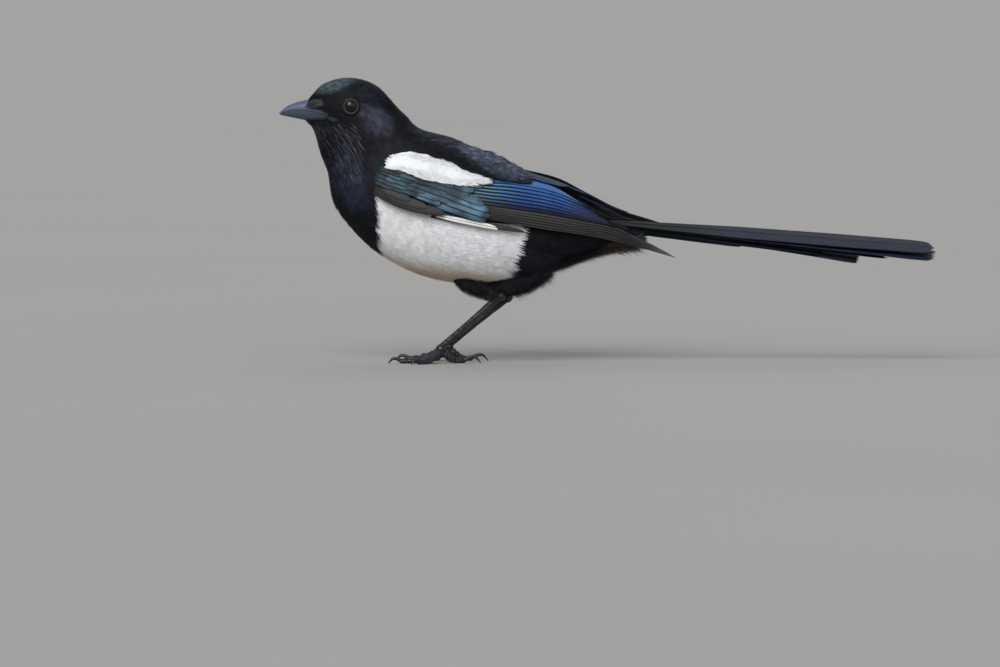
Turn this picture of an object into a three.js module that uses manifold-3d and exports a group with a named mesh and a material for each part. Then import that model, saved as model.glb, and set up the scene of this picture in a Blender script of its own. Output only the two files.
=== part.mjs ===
// A life-size Eurasian magpie that stands on both feet, facing -X, in millimetres with +Z up.
// The body is one lofted form that thin cuts part into head, neck, back, breast, belly, vent and tail root.
// The origin is on the floor, under the middle of the length from bill tip to tail tip.
import * as THREE from "three";
import { LoftGeometry } from "three/addons/geometries/LoftGeometry.js";
import { mergeVertices } from "three/addons/utils/BufferGeometryUtils.js";
import Module from "manifold-3d";

const wasm = await Module();
wasm.setup();

const GAP = 0.3;
const CUT = GAP / 2;
const MERGE = 1e-4;
const FINE = 0.06;
const TURN = 2 * Math.PI;

const at = (x, y, z) => new THREE.Vector3(x, y, z);
const clamp = THREE.MathUtils.clamp;
const mix = THREE.MathUtils.lerp;
const radians = THREE.MathUtils.degToRad;

// Turns a closed three.js geometry into a solid whose faces point out.
function solid(geometry) {
  const bare = new THREE.BufferGeometry();
  bare.setAttribute("position", geometry.getAttribute("position"));
  bare.setIndex(geometry.getIndex());
  const merged = mergeVertices(bare, MERGE);
  const corners = merged.index.array;
  const faces = [];
  for (let i = 0; i < corners.length; i += 3) {
    const [a, b, c] = [corners[i], corners[i + 1], corners[i + 2]];
    if (a !== b && b !== c && c !== a) faces.push(a, b, c);
  }
  const vertProperties = new Float32Array(merged.attributes.position.array);
  const build = (tri) =>
    new wasm.Manifold(new wasm.Mesh({ numProp: 3, vertProperties, triVerts: new Uint32Array(tri) }));
  const made = build(faces);
  if (made.volume() > 0) return made;
  return build(faces.reverse());
}

// The three.js geometry of a solid.
function geometryOf(body) {
  const { vertProperties, triVerts, numProp, numVert } = body.getMesh();
  const position = new Float32Array(numVert * 3);
  for (let i = 0; i < numVert; i++) {
    position.set(vertProperties.subarray(i * numProp, i * numProp + 3), i * 3);
  }
  const geometry = new THREE.BufferGeometry();
  geometry.setAttribute("position", new THREE.BufferAttribute(position, 3));
  geometry.setIndex(new THREE.BufferAttribute(new Uint32Array(triVerts), 1));
  geometry.computeVertexNormals();
  return geometry;
}

// Only the largest closed surface of a solid is kept after a union or a cut.
function largest(body) {
  return body.decompose().reduce((best, piece) => (piece.volume() > best.volume() ? piece : best));
}

const fuse = (pieces) => largest(wasm.Manifold.union(pieces));

// A closed solid through sections that all run the same way round.
function loft(sections) {
  const start = sections[0];
  const forward = sections[1][0].clone().sub(start[0]);
  const turn = at(0, 0, 0);
  start.forEach((p, i) => turn.add(p.clone().cross(start[(i + 1) % start.length])));
  if (turn.dot(forward) < 0) sections.forEach((section) => section.reverse());
  return solid(new LoftGeometry(sections, { capStart: true, capEnd: true }));
}

// A closed thin sheet. Both faces are split along the same diagonals, and each row runs from its first side to its other.
function sheet(rows, columns, face) {
  const position = [];
  for (let i = 0; i < rows; i++) {
    for (let j = 0; j < columns; j++) {
      position.push(...face(i, j, 1).toArray(), ...face(i, j, -1).toArray());
    }
  }
  const index = [];
  const [top, base] = [(i, j) => 2 * (i * columns + j), (i, j) => 2 * (i * columns + j) + 1];
  const quad = (a, b, c, d) => index.push(a, b, c, a, c, d);
  for (let i = 0; i < rows - 1; i++) {
    for (let j = 0; j < columns - 1; j++) {
      quad(top(i, j), top(i + 1, j), top(i + 1, j + 1), top(i, j + 1));
      index.push(base(i, j), base(i + 1, j + 1), base(i + 1, j), base(i, j), base(i, j + 1), base(i + 1, j + 1));
    }
    quad(top(i, 0), base(i, 0), base(i + 1, 0), top(i + 1, 0));
    quad(top(i + 1, columns - 1), base(i + 1, columns - 1), base(i, columns - 1), top(i, columns - 1));
  }
  for (let j = 0; j < columns - 1; j++) {
    quad(top(0, j + 1), base(0, j + 1), base(0, j), top(0, j));
    quad(top(rows - 1, j), base(rows - 1, j), base(rows - 1, j + 1), top(rows - 1, j + 1));
  }
  const geometry = new THREE.BufferGeometry();
  geometry.setAttribute("position", new THREE.Float32BufferAttribute(position, 3));
  geometry.setIndex(index);
  return solid(geometry);
}

// A smooth value along evenly spaced control values.
function along(values) {
  const curve = new THREE.CatmullRomCurve3(values.map((value, i) => at(i, value, 0)), false, "catmullrom");
  return (share) => curve.getPoint(clamp(share, 0, 1)).y;
}

// The mirror image of a solid across the bird's middle plane.
const mirrored = (body) => body.mirror([0, 1, 0]);

// The body

// Stations from the face to the tail root: back line x and z, belly line x and z, half width, fullness towards the back.
const STATIONS = [
  [-184.8, 163.7, -187.9, 149.4, 5.6, 0.0],
  [-174.8, 173.3, -182.0, 143.5, 11.2, 0.1],
  [-159.3, 176.7, -177.3, 129.6, 15.6, 0.2],
  [-143.2, 171.7, -173.0, 117.8, 17.4, 0.16],
  [-128.3, 156.9, -169.3, 100.4, 18.6, 0.06],
  [-115.9, 145.7, -161.2, 86.2, 23.5, 0.0],
  [-94.2, 138.6, -143.8, 68.8, 31.5, -0.04],
  [-69.4, 127.1, -119.0, 55.2, 36.5, -0.08],
  [-47.7, 112.8, -91.1, 48.6, 36.5, -0.08],
  [-29.1, 101.7, -64.5, 48.6, 31.5, -0.05],
  [-10.5, 92.4, -34.1, 58.3, 22.0, 0.0],
  [5.0, 87.4, -7.4, 67.0, 14.5, 0.0],
  [20.5, 83.7, 18.0, 71.3, 8.0, 0.0],
];
const ROUNDNESS = 0.88;
const BODY_SIDES = 24;
const RINGS_PER_STATION = 2;
const FACE_ROUNDING = 2.2;

const column = (i) => along(STATIONS.map((row) => row[i]));
const [backX, backZ, bellyX, bellyZ, halfWidth, fullness] = [0, 1, 2, 3, 4, 5].map(column);

// The point of the body's surface at a share of its length and an angle from the back line, moved out by grow.
function bodyPoint(share, angle, grow = 0) {
  const back = at(backX(share), 0, backZ(share));
  const belly = at(bellyX(share), 0, bellyZ(share));
  const half = back.clone().sub(belly).multiplyScalar(0.5);
  const centre = belly.add(half);
  const [c, s] = [Math.cos(angle), Math.sin(angle)];
  const side = Math.sign(s) * Math.abs(s) ** ROUNDNESS * (1 + fullness(share) * c);
  return centre
    .addScaledVector(half, c * (1 + grow / half.length()))
    .add(at(0, side * (halfWidth(share) + grow), 0));
}

function bodyRing(share, grow, scale = 1, shift = 0) {
  const ring = Array.from({ length: BODY_SIDES }, (_, j) => bodyPoint(share, (j / BODY_SIDES) * TURN, grow));
  if (scale === 1) return ring;
  const centre = bodyPoint(share, 0, grow).add(bodyPoint(share, Math.PI, grow)).multiplyScalar(0.5);
  return ring.map((p) => p.sub(centre).multiplyScalar(scale).add(centre).add(at(shift, 0, 0)));
}

// The whole body, or the same form grown outwards so that it can cut what lies against it.
function bodyForm(grow = 0) {
  const count = (STATIONS.length - 1) * RINGS_PER_STATION;
  const rings = [bodyRing(0, grow, 0.6, -FACE_ROUNDING - grow)];
  for (let i = 0; i <= count; i++) rings.push(bodyRing(i / count, grow));
  rings.push(bodyRing(1, grow, 0.5, FACE_ROUNDING + grow));
  return loft(rings);
}

// The half width of the body at a place in the side view, where the section through that place is widest.
function bodySide(x, z) {
  const across = (share) => {
    const [ax, az] = [bellyX(share), bellyZ(share)];
    return (backX(share) - ax) * (z - az) - (backZ(share) - az) * (x - ax);
  };
  let [low, high] = [0, 1];
  for (let i = 0; i < 40; i++) {
    const middle = (low + high) / 2;
    if (across(middle) < 0) low = middle;
    else high = middle;
  }
  const dx = backX(low) - bellyX(low);
  const dz = backZ(low) - bellyZ(low);
  const height = ((x - bellyX(low)) * dx + (z - bellyZ(low)) * dz) / (dx * dx + dz * dz);
  const c = clamp(2 * height - 1, -1, 1);
  return halfWidth(low) * Math.sin(Math.acos(c)) ** ROUNDNESS * (1 + fullness(low) * c);
}

// A thin cut across the side view, along the way from one place to another. Left is the bird's front or its top.
function cut(x1, z1, x2, z2) {
  const normal = at(z1 - z2, 0, x2 - x1).normalize();
  return { normal, offset: normal.dot(at(x1, 0, z1)) };
}
const leftOf = (body, { normal, offset }) => body.trimByPlane(normal.toArray(), offset + CUT);
const rightOf = (body, { normal, offset }) => body.trimByPlane(normal.clone().negate().toArray(), CUT - offset);

const NAPE = cut(-177.9, 129.8, -134.5, 164.6);
const COLLAR = cut(-163.7, 88.0, -111.0, 144.5);
const FLANK = cut(-165.0, 109.0, -47.7, 78.1);
const BREAST_EDGE = cut(-143.8, 40.0, -143.8, 120.0);
const VENT_EDGE = cut(-66.0, 38.0, -53.0, 82.0);
const TAIL_EDGE = cut(-12.0, 50.0, -7.0, 100.0);

// The bill

const BILL = {
  base: -171.7,
  tip: -203.4,
  culmen: along([158.5, 161.3, 162.9, 162.3, 160.9, 158.6, 154.4]),
  mouth: along([152.8, 154.0, 155.4, 156.3, 156.3, 155.6, 153.9]),
  gonys: along([148.6, 148.8, 149.3, 150.1, 151.2, 152.3, 153.4]),
  width: along([6.9, 6.4, 5.7, 4.7, 3.5, 2.1, 0.45]),
  rings: 10,
  sides: 7,
  lowerShare: 0.97,
};

// One half of the bill from the mouth line to its ridge. Side is 1 for the upper half and -1 for the lower one.
function billHalf(side, grow = 0) {
  const ridge = side > 0 ? BILL.culmen : BILL.gonys;
  const reach = side > 0 ? 1 : BILL.lowerShare;
  const sections = [];
  for (let i = 0; i <= BILL.rings; i++) {
    const share = (i / BILL.rings) * reach;
    const x = mix(BILL.base, BILL.tip, share) + (i ? -grow : grow);
    const floor = BILL.mouth(share) + side * (CUT - grow);
    const rise = side * Math.max(side * (ridge(share) - floor), 0.35) + side * grow;
    const half = (side > 0 ? 1 : 0.92) * BILL.width(share) + grow;
    const section = [];
    for (let j = 0; j <= BILL.sides; j++) {
      const angle = (j / BILL.sides) * Math.PI;
      section.push(at(x, half * Math.cos(angle), floor + rise * Math.sin(angle) ** 0.8));
    }
    sections.push(section);
  }
  return loft(sections);
}

// The eyes and lids

const EYE = { x: -158.4, z: 159.0, radius: 5.3, opening: 4.4, lid: 0.75, tilt: 8 };
EYE.depth = Math.sqrt(EYE.radius ** 2 - EYE.opening ** 2);
EYE.y = -(bodySide(EYE.x, EYE.z) + 0.2 - EYE.depth);

const eyeball = (grow = 0) =>
  solid(new THREE.SphereGeometry(EYE.radius + grow, 12, 8)).translate([EYE.x, EYE.y, EYE.z]);
const lidRing = () =>
  solid(new THREE.TorusGeometry(EYE.opening + EYE.lid * 0.6, EYE.lid, 5, 14))
    .rotate([90, 0, 0])
    .translate([EYE.x, EYE.y - EYE.depth, EYE.z]);

// Nostril bristles and the mouth line on the face

// Each bristle starts in front of the eye and lies forwards over the nostril: start x, start z, end x, end z.
const BRISTLES = [
  [-175.6, 162.2, -185.0, 162.0],
  [-174.4, 160.4, -186.0, 160.0],
  [-174.8, 158.6, -185.6, 158.4],
];
const BRISTLE = { radii: [0.55, 0.6, 0.2], proud: 0.15, bow: 0.5 };
const GAPE = { start: [-173.0, 152.5], end: [-165.9, 151.6], radii: [0.4, 0.25], depth: 0.1 };

// In the side view, no feathers grow on the bill inside this outline.
const BARE_BILL = [
  [-200, 145], [-200, 166], [-185.4, 163.9], [-186.2, 158.4], [-177.1, 156.9], [-172.3, 153.4], [-172.3, 151.4],
  [-176.1, 149.0], [-188.9, 149.4], [-190, 145],
];
function bareBill() {
  const outline = new THREE.Shape(BARE_BILL.map(([x, z]) => new THREE.Vector2(x, z)));
  const slab = new THREE.ExtrudeGeometry(outline, { depth: 40, bevelEnabled: false });
  return solid(slab).rotate([90, 0, 0]).translate([0, 20, 0]);
}

const onFace = (x, z, out) => at(x, -(bodySide(x, z) + out), z);
function bristle([x1, z1, x2, z2]) {
  const points = [
    onFace(x1, z1, -0.3),
    onFace(mix(x1, x2, 0.5), mix(z1, z2, 0.5) + BRISTLE.bow, BRISTLE.proud),
    onFace(x2, z2, BRISTLE.proud),
  ];
  return limb(points, BRISTLE.radii, 4);
}
function mouthLine() {
  const [x1, z1] = GAPE.start;
  const [x2, z2] = GAPE.end;
  const points = [0, 0.5, 1].map((share) => onFace(mix(x1, x2, share), mix(z1, z2, share), -GAPE.depth));
  return limb(points, GAPE.radii, 4);
}

// The legs and feet

const LEG = {
  side: 14,
  heel: at(-66.4, 0, 41.4),
  ankle: at(-103.0, 0, 9.6),
  knee: at(-88.0, 0, 52.4),
  kneeOut: 2,
  farShift: 4.5,
  farDrop: 2.2,
};
LEG.way = LEG.ankle.clone().sub(LEG.heel);

// A place on the left leg (side -1) or on the right leg (side 1), which stands a little further back.
function onLeg(point, side, out = 0) {
  const far = side > 0 ? 1 : 0;
  const bend = clamp((point.z - LEG.ankle.z) / LEG.way.z, -1.6, 0);
  return at(point.x + far * LEG.farShift, side * (LEG.side + out), point.z + far * LEG.farDrop * bend);
}

// A round limb along points with a radius at each.
function limb(points, radii, sides = 10, grow = 0) {
  const path = new THREE.CatmullRomCurve3(points);
  const size = along(radii);
  const count = (points.length - 1) * 2;
  const sections = [];
  for (let i = 0; i <= count; i++) {
    const share = i / count;
    const centre = path.getPoint(share);
    const forward = path.getTangent(share);
    if (i === 0) centre.addScaledVector(forward, -grow);
    if (i === count) centre.addScaledVector(forward, grow);
    const across = at(0, 0, 1).cross(forward).normalize();
    const up = forward.clone().cross(across);
    const r = size(share) + grow;
    sections.push(
      Array.from({ length: sides }, (_, j) => {
        const angle = ((j + 0.5) / sides) * TURN;
        return centre
          .clone()
          .addScaledVector(across, r * Math.cos(angle))
          .addScaledVector(up, r * Math.sin(angle));
      }),
    );
  }
  return loft(sections);
}

// The fluff behind the thigh fills the corner between the heel and the tail.
const HAUNCH = {
  points: [at(-81, 0, 52), at(-70, 0, 48.8), at(-62, 0, 52), at(-53, 0, 58.5)],
  radii: [5, 7, 6.0, 3.5],
};

function thigh(side, grow = 0) {
  const knee = onLeg(LEG.knee, side, LEG.kneeOut);
  const heel = onLeg(LEG.heel, side);
  const middle = knee.clone().lerp(heel, 0.5).add(at(0, 0, 0.6));
  const cuff = heel.clone().add(at(1.2, 0, -0.6));
  const front = knee.clone().add(at(-6, -side * 1.5, 2.5));
  const drumstick = limb([front, knee, middle, heel, cuff], [3.2, 7.4, 7.0, 4.2, 2.9], 12, grow);
  const haunch = limb(HAUNCH.points.map((point) => onLeg(point, side)), HAUNCH.radii, 12, grow);
  return fuse([drumstick, haunch]);
}

// The shank runs from inside the thigh to the ankle.
function shank(side) {
  const points = [-0.06, 0.08, 0.5, 0.9, 1].map((share) =>
    onLeg(LEG.heel.clone().addScaledVector(LEG.way, share), side),
  );
  return limb(points, [2.5, 2.4, 1.95, 2.05, 2.5], 10);
}

// Toes: name, heading outwards from straight ahead in degrees, length without the claw, claw length.
const TOES = [
  ["inner", -22, 19, 8.5],
  ["middle", 6, 25, 9.5],
  ["outer", 48, 20, 8.5],
  ["hind", 184, 15, 12.5],
];
const TOE = { root: 2.6, tip: 1.75, knuckle: 0.25, sunk: 0.7 };

function toePoint(side, heading, reach, z) {
  const turn = radians(heading) * side;
  const ankle = onLeg(LEG.ankle, side);
  return at(ankle.x - reach * Math.cos(turn), ankle.y + reach * Math.sin(turn), z);
}

function toe(side, [, heading, length], grow) {
  const low = TOE.tip - TOE.sunk;
  const points = [
    toePoint(side, heading, 0, LEG.ankle.z - 2),
    toePoint(side, heading, length * 0.28, TOE.root + 1.8),
    toePoint(side, heading, length * 0.55, low + 0.9),
    toePoint(side, heading, length * 0.8, low + 0.3),
    toePoint(side, heading, length, low + 0.35),
  ];
  return limb(points, [TOE.root, TOE.root * 0.92, TOE.tip + TOE.knuckle, TOE.tip, TOE.tip * 0.85], 8, grow);
}

// All toes of a foot with its ball, flat on the floor.
function foot(side, grow = 0) {
  const ankle = onLeg(LEG.ankle, side);
  const ball = solid(new THREE.SphereGeometry(3 + grow, 10, 6)).translate([ankle.x, ankle.y, ankle.z - 2.4]);
  const whole = fuse([ball, ...TOES.map((row) => toe(side, row, grow))]);
  return whole.trimByPlane([0, 0, 1], 0);
}

// A claw curves up from the toe and down to the floor.
const CLAW = { radii: [1.3, 1.15, 0.85, 0.25], arch: 0.26, droop: 1.9, level: 1.75 };
function claw(side, [, heading, length, clawLength]) {
  const start = length - 0.3;
  const arc = [0, 0.3, 0.65, 1].map((share) => {
    const rise = clawLength * CLAW.arch * Math.sin(share * 2.6) - share * CLAW.droop;
    return toePoint(side, heading, start + clawLength * 0.82 * share, CLAW.level + rise);
  });
  arc[3].z = 0.1;
  return limb(arc, CLAW.radii, 6).trimByPlane([0, 0, 1], 0);
}

// The folded wings

// A folded wing lies on a curved sheet: u runs from the wrist to the tip, v runs up across the wing and over the back.
const WING = {
  wrist: at(-142.0, 0, 115.9),
  dip: radians(14.9),
  length: 191.6,
  bulge: along([29.5, 36.5, 40.2, 41.8, 40.6, 36.0, 29.5, 23.0, 18.0, 14.5]),
  crown: along([-8, -8, -8, -7, -5, -3, -2, 0, 0, 0]),
  radius: along([40, 42, 42, 39, 30.5, 27.2, 24, 20, 18, 18]),
  lower: along([-6, -12.6, -13.8, -13.6, -10.5, -5.2, -3.2, -1.0, -0.6, -0.5]),
  upper: along([10, 21, 23, 20, 22, 21.5, 15.5, 8.8, 4.8, 0.6]),
  depth: along([6, 7, 7, 6.5, 5, 3.4, 2.6, 2.2, 1.8, 1.2]),
  coreEnd: 0.6,
  coreDrop: 1.1,
};

// The left wing lies as drawn. The right one is held higher towards its tip, by this much in millimetres.
const NEAR = along([0, 0]);
const FAR = along([0, 0, 0.3, 0.8, 1.6, 2.8, 4.2, 6.6, 9.6, 12.6]);
const OVER = 0.94;
const OVER_ANGLE = Math.asin(OVER);

function wingSurface(raise, u, v) {
  const share = u / WING.length;
  const rise = (v - WING.crown(share)) / WING.radius(share);
  const angle = rise < OVER ? Math.asin(Math.max(rise, -0.98)) : OVER_ANGLE + (rise - OVER) / Math.cos(OVER_ANGLE);
  const height = WING.crown(share) + WING.radius(share) * Math.sin(angle) + raise(share);
  const [c, s] = [Math.cos(WING.dip), Math.sin(WING.dip)];
  return at(
    WING.wrist.x + u * c + height * s,
    -WING.bulge(share) * Math.cos(angle),
    WING.wrist.z - u * s + height * c,
  );
}

// A place on the wing, lifted off the sheet.
function wingPoint(raise, u, v, lift = 0) {
  const step = 0.5;
  const point = wingSurface(raise, u, v);
  const alongWing = wingSurface(raise, u + step, v).sub(wingSurface(raise, u - step, v));
  const acrossWing = wingSurface(raise, u, v + step).sub(wingSurface(raise, u, v - step));
  return point.addScaledVector(alongWing.cross(acrossWing).normalize(), lift);
}

// The smooth form of the wing under its feathers, a lens in each section.
function wingForm(raise, end = 1, drop = 0) {
  const [rings, steps] = [Math.round(14 * end), 6];
  const sections = [];
  for (let i = 0; i <= rings; i++) {
    const share = (i / rings) * end;
    const closing = end < 1 ? clamp((end - share) / 0.18, 0.12, 1) : 1;
    const [low, high] = [WING.lower(share) + drop * 2, WING.upper(share) - drop * 2];
    const squeeze = Math.min(1, 0.5 + 8 * share);
    const outer = [];
    const inner = [];
    for (let j = 0; j <= steps; j++) {
      const a = (2 * j) / steps - 1;
      const v = (low + high) / 2 + ((high - low) / 2) * a * squeeze;
      const swell = 1 - a ** 4;
      outer.push(wingPoint(raise, share * WING.length, v, swell * 0.6 - drop));
      inner.push(wingPoint(raise, share * WING.length, v, -0.6 - drop - WING.depth(share) * swell * closing));
    }
    sections.push([...outer, ...inner.reverse()]);
  }
  return loft(sections);
}

// The outline of a vane from its root to its tip: share of the length, and share of the full width there.
const ROUND_TIP = [[0, 0.6], [0.4, 1], [0.76, 0.97], [0.93, 0.66], [1, 0.25]];
const LONG_TIP = [[0, 0.7], [0.38, 1], [0.76, 0.93], [0.94, 0.55], [1, 0.16]];

// One feather on the wing. Its lower edge follows edge(u); its upper edge dives under the next feather.
function wingVane(raise, { from, to, edge, width, lift, dive, thick = 0.7, sink = 2.2, tip = LONG_TIP }) {
  const pitch = (row) => tip[row][0];
  return sheet(tip.length, 2, (i, j, side) => {
    const u = mix(from, to, pitch(i));
    const w = width * tip[i][1];
    const taper = edge(u) + (i === tip.length - 1 ? width * 0.2 : i === tip.length - 2 ? width * 0.06 : 0);
    const root = Math.max(0, 1 - pitch(i) / 0.3);
    const height = lift - sink * root - (j ? dive * tip[i][1] : 0);
    const half = thick * (i === tip.length - 1 ? 0.36 : 0.5);
    return wingPoint(raise, u, taper + (j ? w : 0), height + side * half);
  });
}

// Edges that the feather groups fan between, as v at evenly spaced u from 0 to the wing's length.
const KEEL = along([-8, -9.5, -10.4, -8.6, -6.4, -4.6, -2.4, -1.1, -1.3, -2.2]);
const SEAM = along([-4, -3, -1.5, 0.2, 2.6, 4.9, 6.0, 7.2, 4.4, 0.9]);
const RIDGE = along([8, 10, 12, 14.5, 17.2, 18.4, 15.5, 9.5, 5, 1]);
const between = (low, high, share) => (u) => mix(low(u / WING.length), high(u / WING.length), share);

const PRIMARIES = { count: 7, root: 52, rootStep: -1.5, tip: 190.4, tipStep: -5.8, width: 7.5, lift: 0.25, dive: 1.7 };
const SECONDARIES = { count: 5, root: 44, rootStep: 2, tip: 152, tipStep: -6, width: 9, lift: 0.5, dive: 1.8 };
const TERTIALS = { count: 2, root: 56, rootStep: 2, tip: 120, tipStep: -13, width: 8, lift: 0.9, dive: 1.3 };
const OUTER_PRIMARIES = [
  { from: 40, to: 80, edge: (u) => -14.1 + (u - 60) * 0.06, width: 5, lift: -0.5, dive: 1.2 },
  { from: 44, to: 96, edge: (u) => -13.2 + (u - 62) * 0.13, width: 6, lift: -0.1, dive: 1.4 },
];
const GREATER_COVERTS = { count: 4, root: 26, tip: 72, low: -6.2, step: 4.6, width: 8, lift: 1.0, dive: 1.3 };
const THUMB = { count: 2, root: 2, tip: 41, tipStep: -12, low: -13.2, step: 2.6, width: 7, lift: 1.2, dive: 1.3 };

// The feathers of a wing in their tiers, the outermost under the innermost.
function wingVanes(raise) {
  const vanes = OUTER_PRIMARIES.map((row) => wingVane(raise, row));
  const row = ({ count, root, rootStep, tip, tipStep, width, lift, dive }, low, high, tipShape) => {
    for (let i = 0; i < count; i++) {
      const edge = between(low, high, i / count);
      const from = root + rootStep * i;
      const to = tip + tipStep * i;
      vanes.push(wingVane(raise, { from, to, edge, width, lift, dive, tip: tipShape }));
    }
  };
  row(PRIMARIES, KEEL, SEAM, LONG_TIP);
  row(SECONDARIES, SEAM, RIDGE, LONG_TIP);
  row(TERTIALS, RIDGE, (share) => RIDGE(share) + 6, ROUND_TIP);
  const tier = ({ count, root, tip, tipStep = 0, low, step, width, lift, dive }, lean) => {
    for (let i = 0; i < count; i++) {
      const to = tip + tipStep * i + lean * Math.sin((i / count) * Math.PI);
      const edge = (u) => low + step * i + (u - root) * 0.05;
      vanes.push(wingVane(raise, { from: root + i, to, edge, width, lift: lift + 0.05 * i, dive, tip: ROUND_TIP }));
    }
  };
  tier(GREATER_COVERTS, 2);
  tier(THUMB, 0);
  return vanes;
}

const wholeWing = (raise) => fuse([wingForm(raise, WING.coreEnd, WING.coreDrop), ...wingVanes(raise)]);

// Two feathers of the right wing lie over the ridge of the back and show from the left.
const RIDGE_FEATHERS = [
  { from: 58, to: 131, edge: () => 19.5, width: 6.5, lift: -0.2, dive: -0.6, thick: 0.8, tip: ROUND_TIP },
  { from: 52, to: 116, edge: () => 23.0, width: 7.5, lift: 0.6, dive: -0.4, thick: 0.9, tip: ROUND_TIP },
];

// Long black feathers run from the back over the root of the blue ones.
const MANTLE = [
  { from: 46, to: 93.5, edge: (u) => 16.2 + (u - 60) * 0.03, width: 6, lift: 2.6, dive: 0.2, sink: 6, tip: ROUND_TIP },
  { from: 42, to: 87, edge: () => 20.4, width: 6.5, lift: 2.4, dive: 0.2, sink: 6.5, thick: 0.8, tip: ROUND_TIP },
];
const mantleVanes = (grow = 0) =>
  MANTLE.map((row) => wingVane(NEAR, { ...row, to: row.to + grow, width: row.width + grow, thick: 0.8 + 2 * grow }));

// The tail

const TAIL = {
  root: at(-9.0, 0, 85.5),
  length: 212.4,
  drop: radians(4.6),
  roll: radians(11.5),
  pairs: 6,
};
const toTail = (body) =>
  body
    .rotate([THREE.MathUtils.radToDeg(TAIL.roll), 0, 0])
    .rotate([0, THREE.MathUtils.radToDeg(TAIL.drop), 0])
    .translate(TAIL.root.toArray());

// The smooth form of the closed tail, up to a share of its length.
function tailForm(grow = 0, end = 1) {
  const width = along([9, 14, 17, 18, 17, 16, 15]);
  const depth = along([5, 4.5, 4.5, 4.5, 4, 3, 1.2]);
  const sections = [];
  for (let i = 0; i <= 14; i++) {
    const share = (i / 14) * end;
    const closing = end < 1 ? clamp((end - share) / 0.1, 0.25, 1) : 1;
    sections.push(
      Array.from({ length: 12 }, (_, j) => {
        const angle = (j / 12) * TURN;
        const [y, z] = [width(share) * closing + grow, depth(share) * closing + grow];
        return at(share * TAIL.length, y * Math.cos(angle), z * Math.sin(angle));
      }),
    );
  }
  return toTail(loft(sections));
}

// Each pair of tail feathers from the middle outwards: length, width, spread in degrees, depth under the first, droop.
// The left feather of the middle pair hangs lower than its neighbour.
const RECTRICES = [
  { length: 212.4, width: 28, spread: 1.2, under: 0, droop: 0.2, leftDroop: 1.05 },
  { length: 184, width: 23, spread: 1.5, under: 0.9, droop: 1.3 },
  { length: 166, width: 21, spread: 2.2, under: 1.7, droop: 2.7 },
  { length: 143, width: 19, spread: 2.8, under: 2.4, droop: 1.4 },
  { length: 118, width: 18, spread: 3.4, under: 3.1, droop: 1.0 },
  { length: 93, width: 17, spread: 4.2, under: 3.8, droop: 0.8 },
];
const RECTRIX_OUTLINE = [[0, 0.16], [0.16, 0.5], [0.42, 0.88], [0.72, 1], [0.93, 0.9], [1, 0.45]];

// One tail feather: a vane with a ridge along its shaft, the inner half wider than the outer one.
function rectrix({ length, width, spread, under, droop, leftDroop = droop }, side) {
  const turn = radians(spread) * side;
  const fall = radians(side < 0 ? leftDroop : droop);
  const stack = side < 0 ? 0.5 : 0;
  return toTail(
    sheet(RECTRIX_OUTLINE.length, 3, (i, j, face) => {
      const [share, fill] = RECTRIX_OUTLINE[i];
      const reach = share * length;
      const across = [-0.42, 0, 0.58][side > 0 ? j : 2 - j] * (side > 0 ? -1 : 1) * width * fill;
      const ridge = j === 1 ? 0.6 : 0;
      const bend = reach * Math.sin(fall) * share;
      const z = 2.4 - under - stack - bend + ridge + face * (i > 4 ? 0.25 : 0.4);
      return at(reach * Math.cos(turn) - across * Math.sin(turn), reach * Math.sin(turn) + across * Math.cos(turn), z);
    }),
  );
}

// The scapulars, the white feathers over the shoulder

const SCAPULAR = {
  from: 2,
  to: 69,
  lower: along([7, 7.5, 8.5, 10.5, 14, 17]),
  upper: along([10, 18, 22.5, 23, 21, 18]),
};

function scapularForm(grow = 0) {
  const [rings, steps] = [9, 5];
  const sections = [];
  for (let i = 0; i <= rings; i++) {
    const share = i / rings;
    const u = mix(SCAPULAR.from - grow, SCAPULAR.to + grow, share);
    const low = SCAPULAR.lower(share) - grow;
    const high = SCAPULAR.upper(share) + grow;
    const outer = [];
    const inner = [];
    for (let j = 0; j <= steps; j++) {
      const a = (2 * j) / steps - 1;
      const v = (low + high) / 2 + ((high - low) / 2) * a;
      outer.push(wingPoint(NEAR, u, v, 1.6 + 0.9 * (1 - a * a) + grow));
      inner.push(wingPoint(NEAR, u, v, -1.4 - grow));
    }
    sections.push([...outer, ...inner.reverse()]);
  }
  return loft(sections);
}

// Assembly

const MATERIALS = {
  black: { color: 0x0b0c10, roughness: 0.55, metalness: 0 },
  white: { color: 0xe9e9e4, roughness: 0.75, metalness: 0 },
  blue: { color: 0x10253f, roughness: 0.35, metalness: 0.1 },
  bill: { color: 0x1d1f24, roughness: 0.4, metalness: 0 },
  leg: { color: 0x16171a, roughness: 0.5, metalness: 0 },
  eye: { color: 0x0a0706, roughness: 0.08, metalness: 0 },
};

const magpie = new THREE.Group();
function add(name, material, body) {
  const mesh = new THREE.Mesh(geometryOf(largest(body.simplify(FINE))), new THREE.MeshStandardMaterial(MATERIALS[material]));
  mesh.name = name;
  magpie.add(mesh);
}

const body = bodyForm();
const bodyCutter = bodyForm(GAP + 0.15);

const headBlank = leftOf(body, NAPE);
const lids = [lidRing(), mirrored(lidRing())];
const sockets = [eyeball(GAP), mirrored(eyeball(GAP))];
const face = BRISTLES.map(bristle);
const mouthLines = [mouthLine(), mirrored(mouthLine())];
const head = wasm.Manifold.union([headBlank, ...lids, ...face, ...face.map(mirrored)]).subtract(
  wasm.Manifold.union([...sockets, ...mouthLines, bareBill(), billHalf(1, GAP), billHalf(-1, GAP)]),
);
add("head", "black", head);
add("bill_upper", "bill", billHalf(1));
add("bill_lower", "bill", billHalf(-1));
add("eye_left", "eye", eyeball());
add("eye_right", "eye", mirrored(eyeball()));
add("neck", "black", leftOf(rightOf(body, NAPE), COLLAR));

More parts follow.
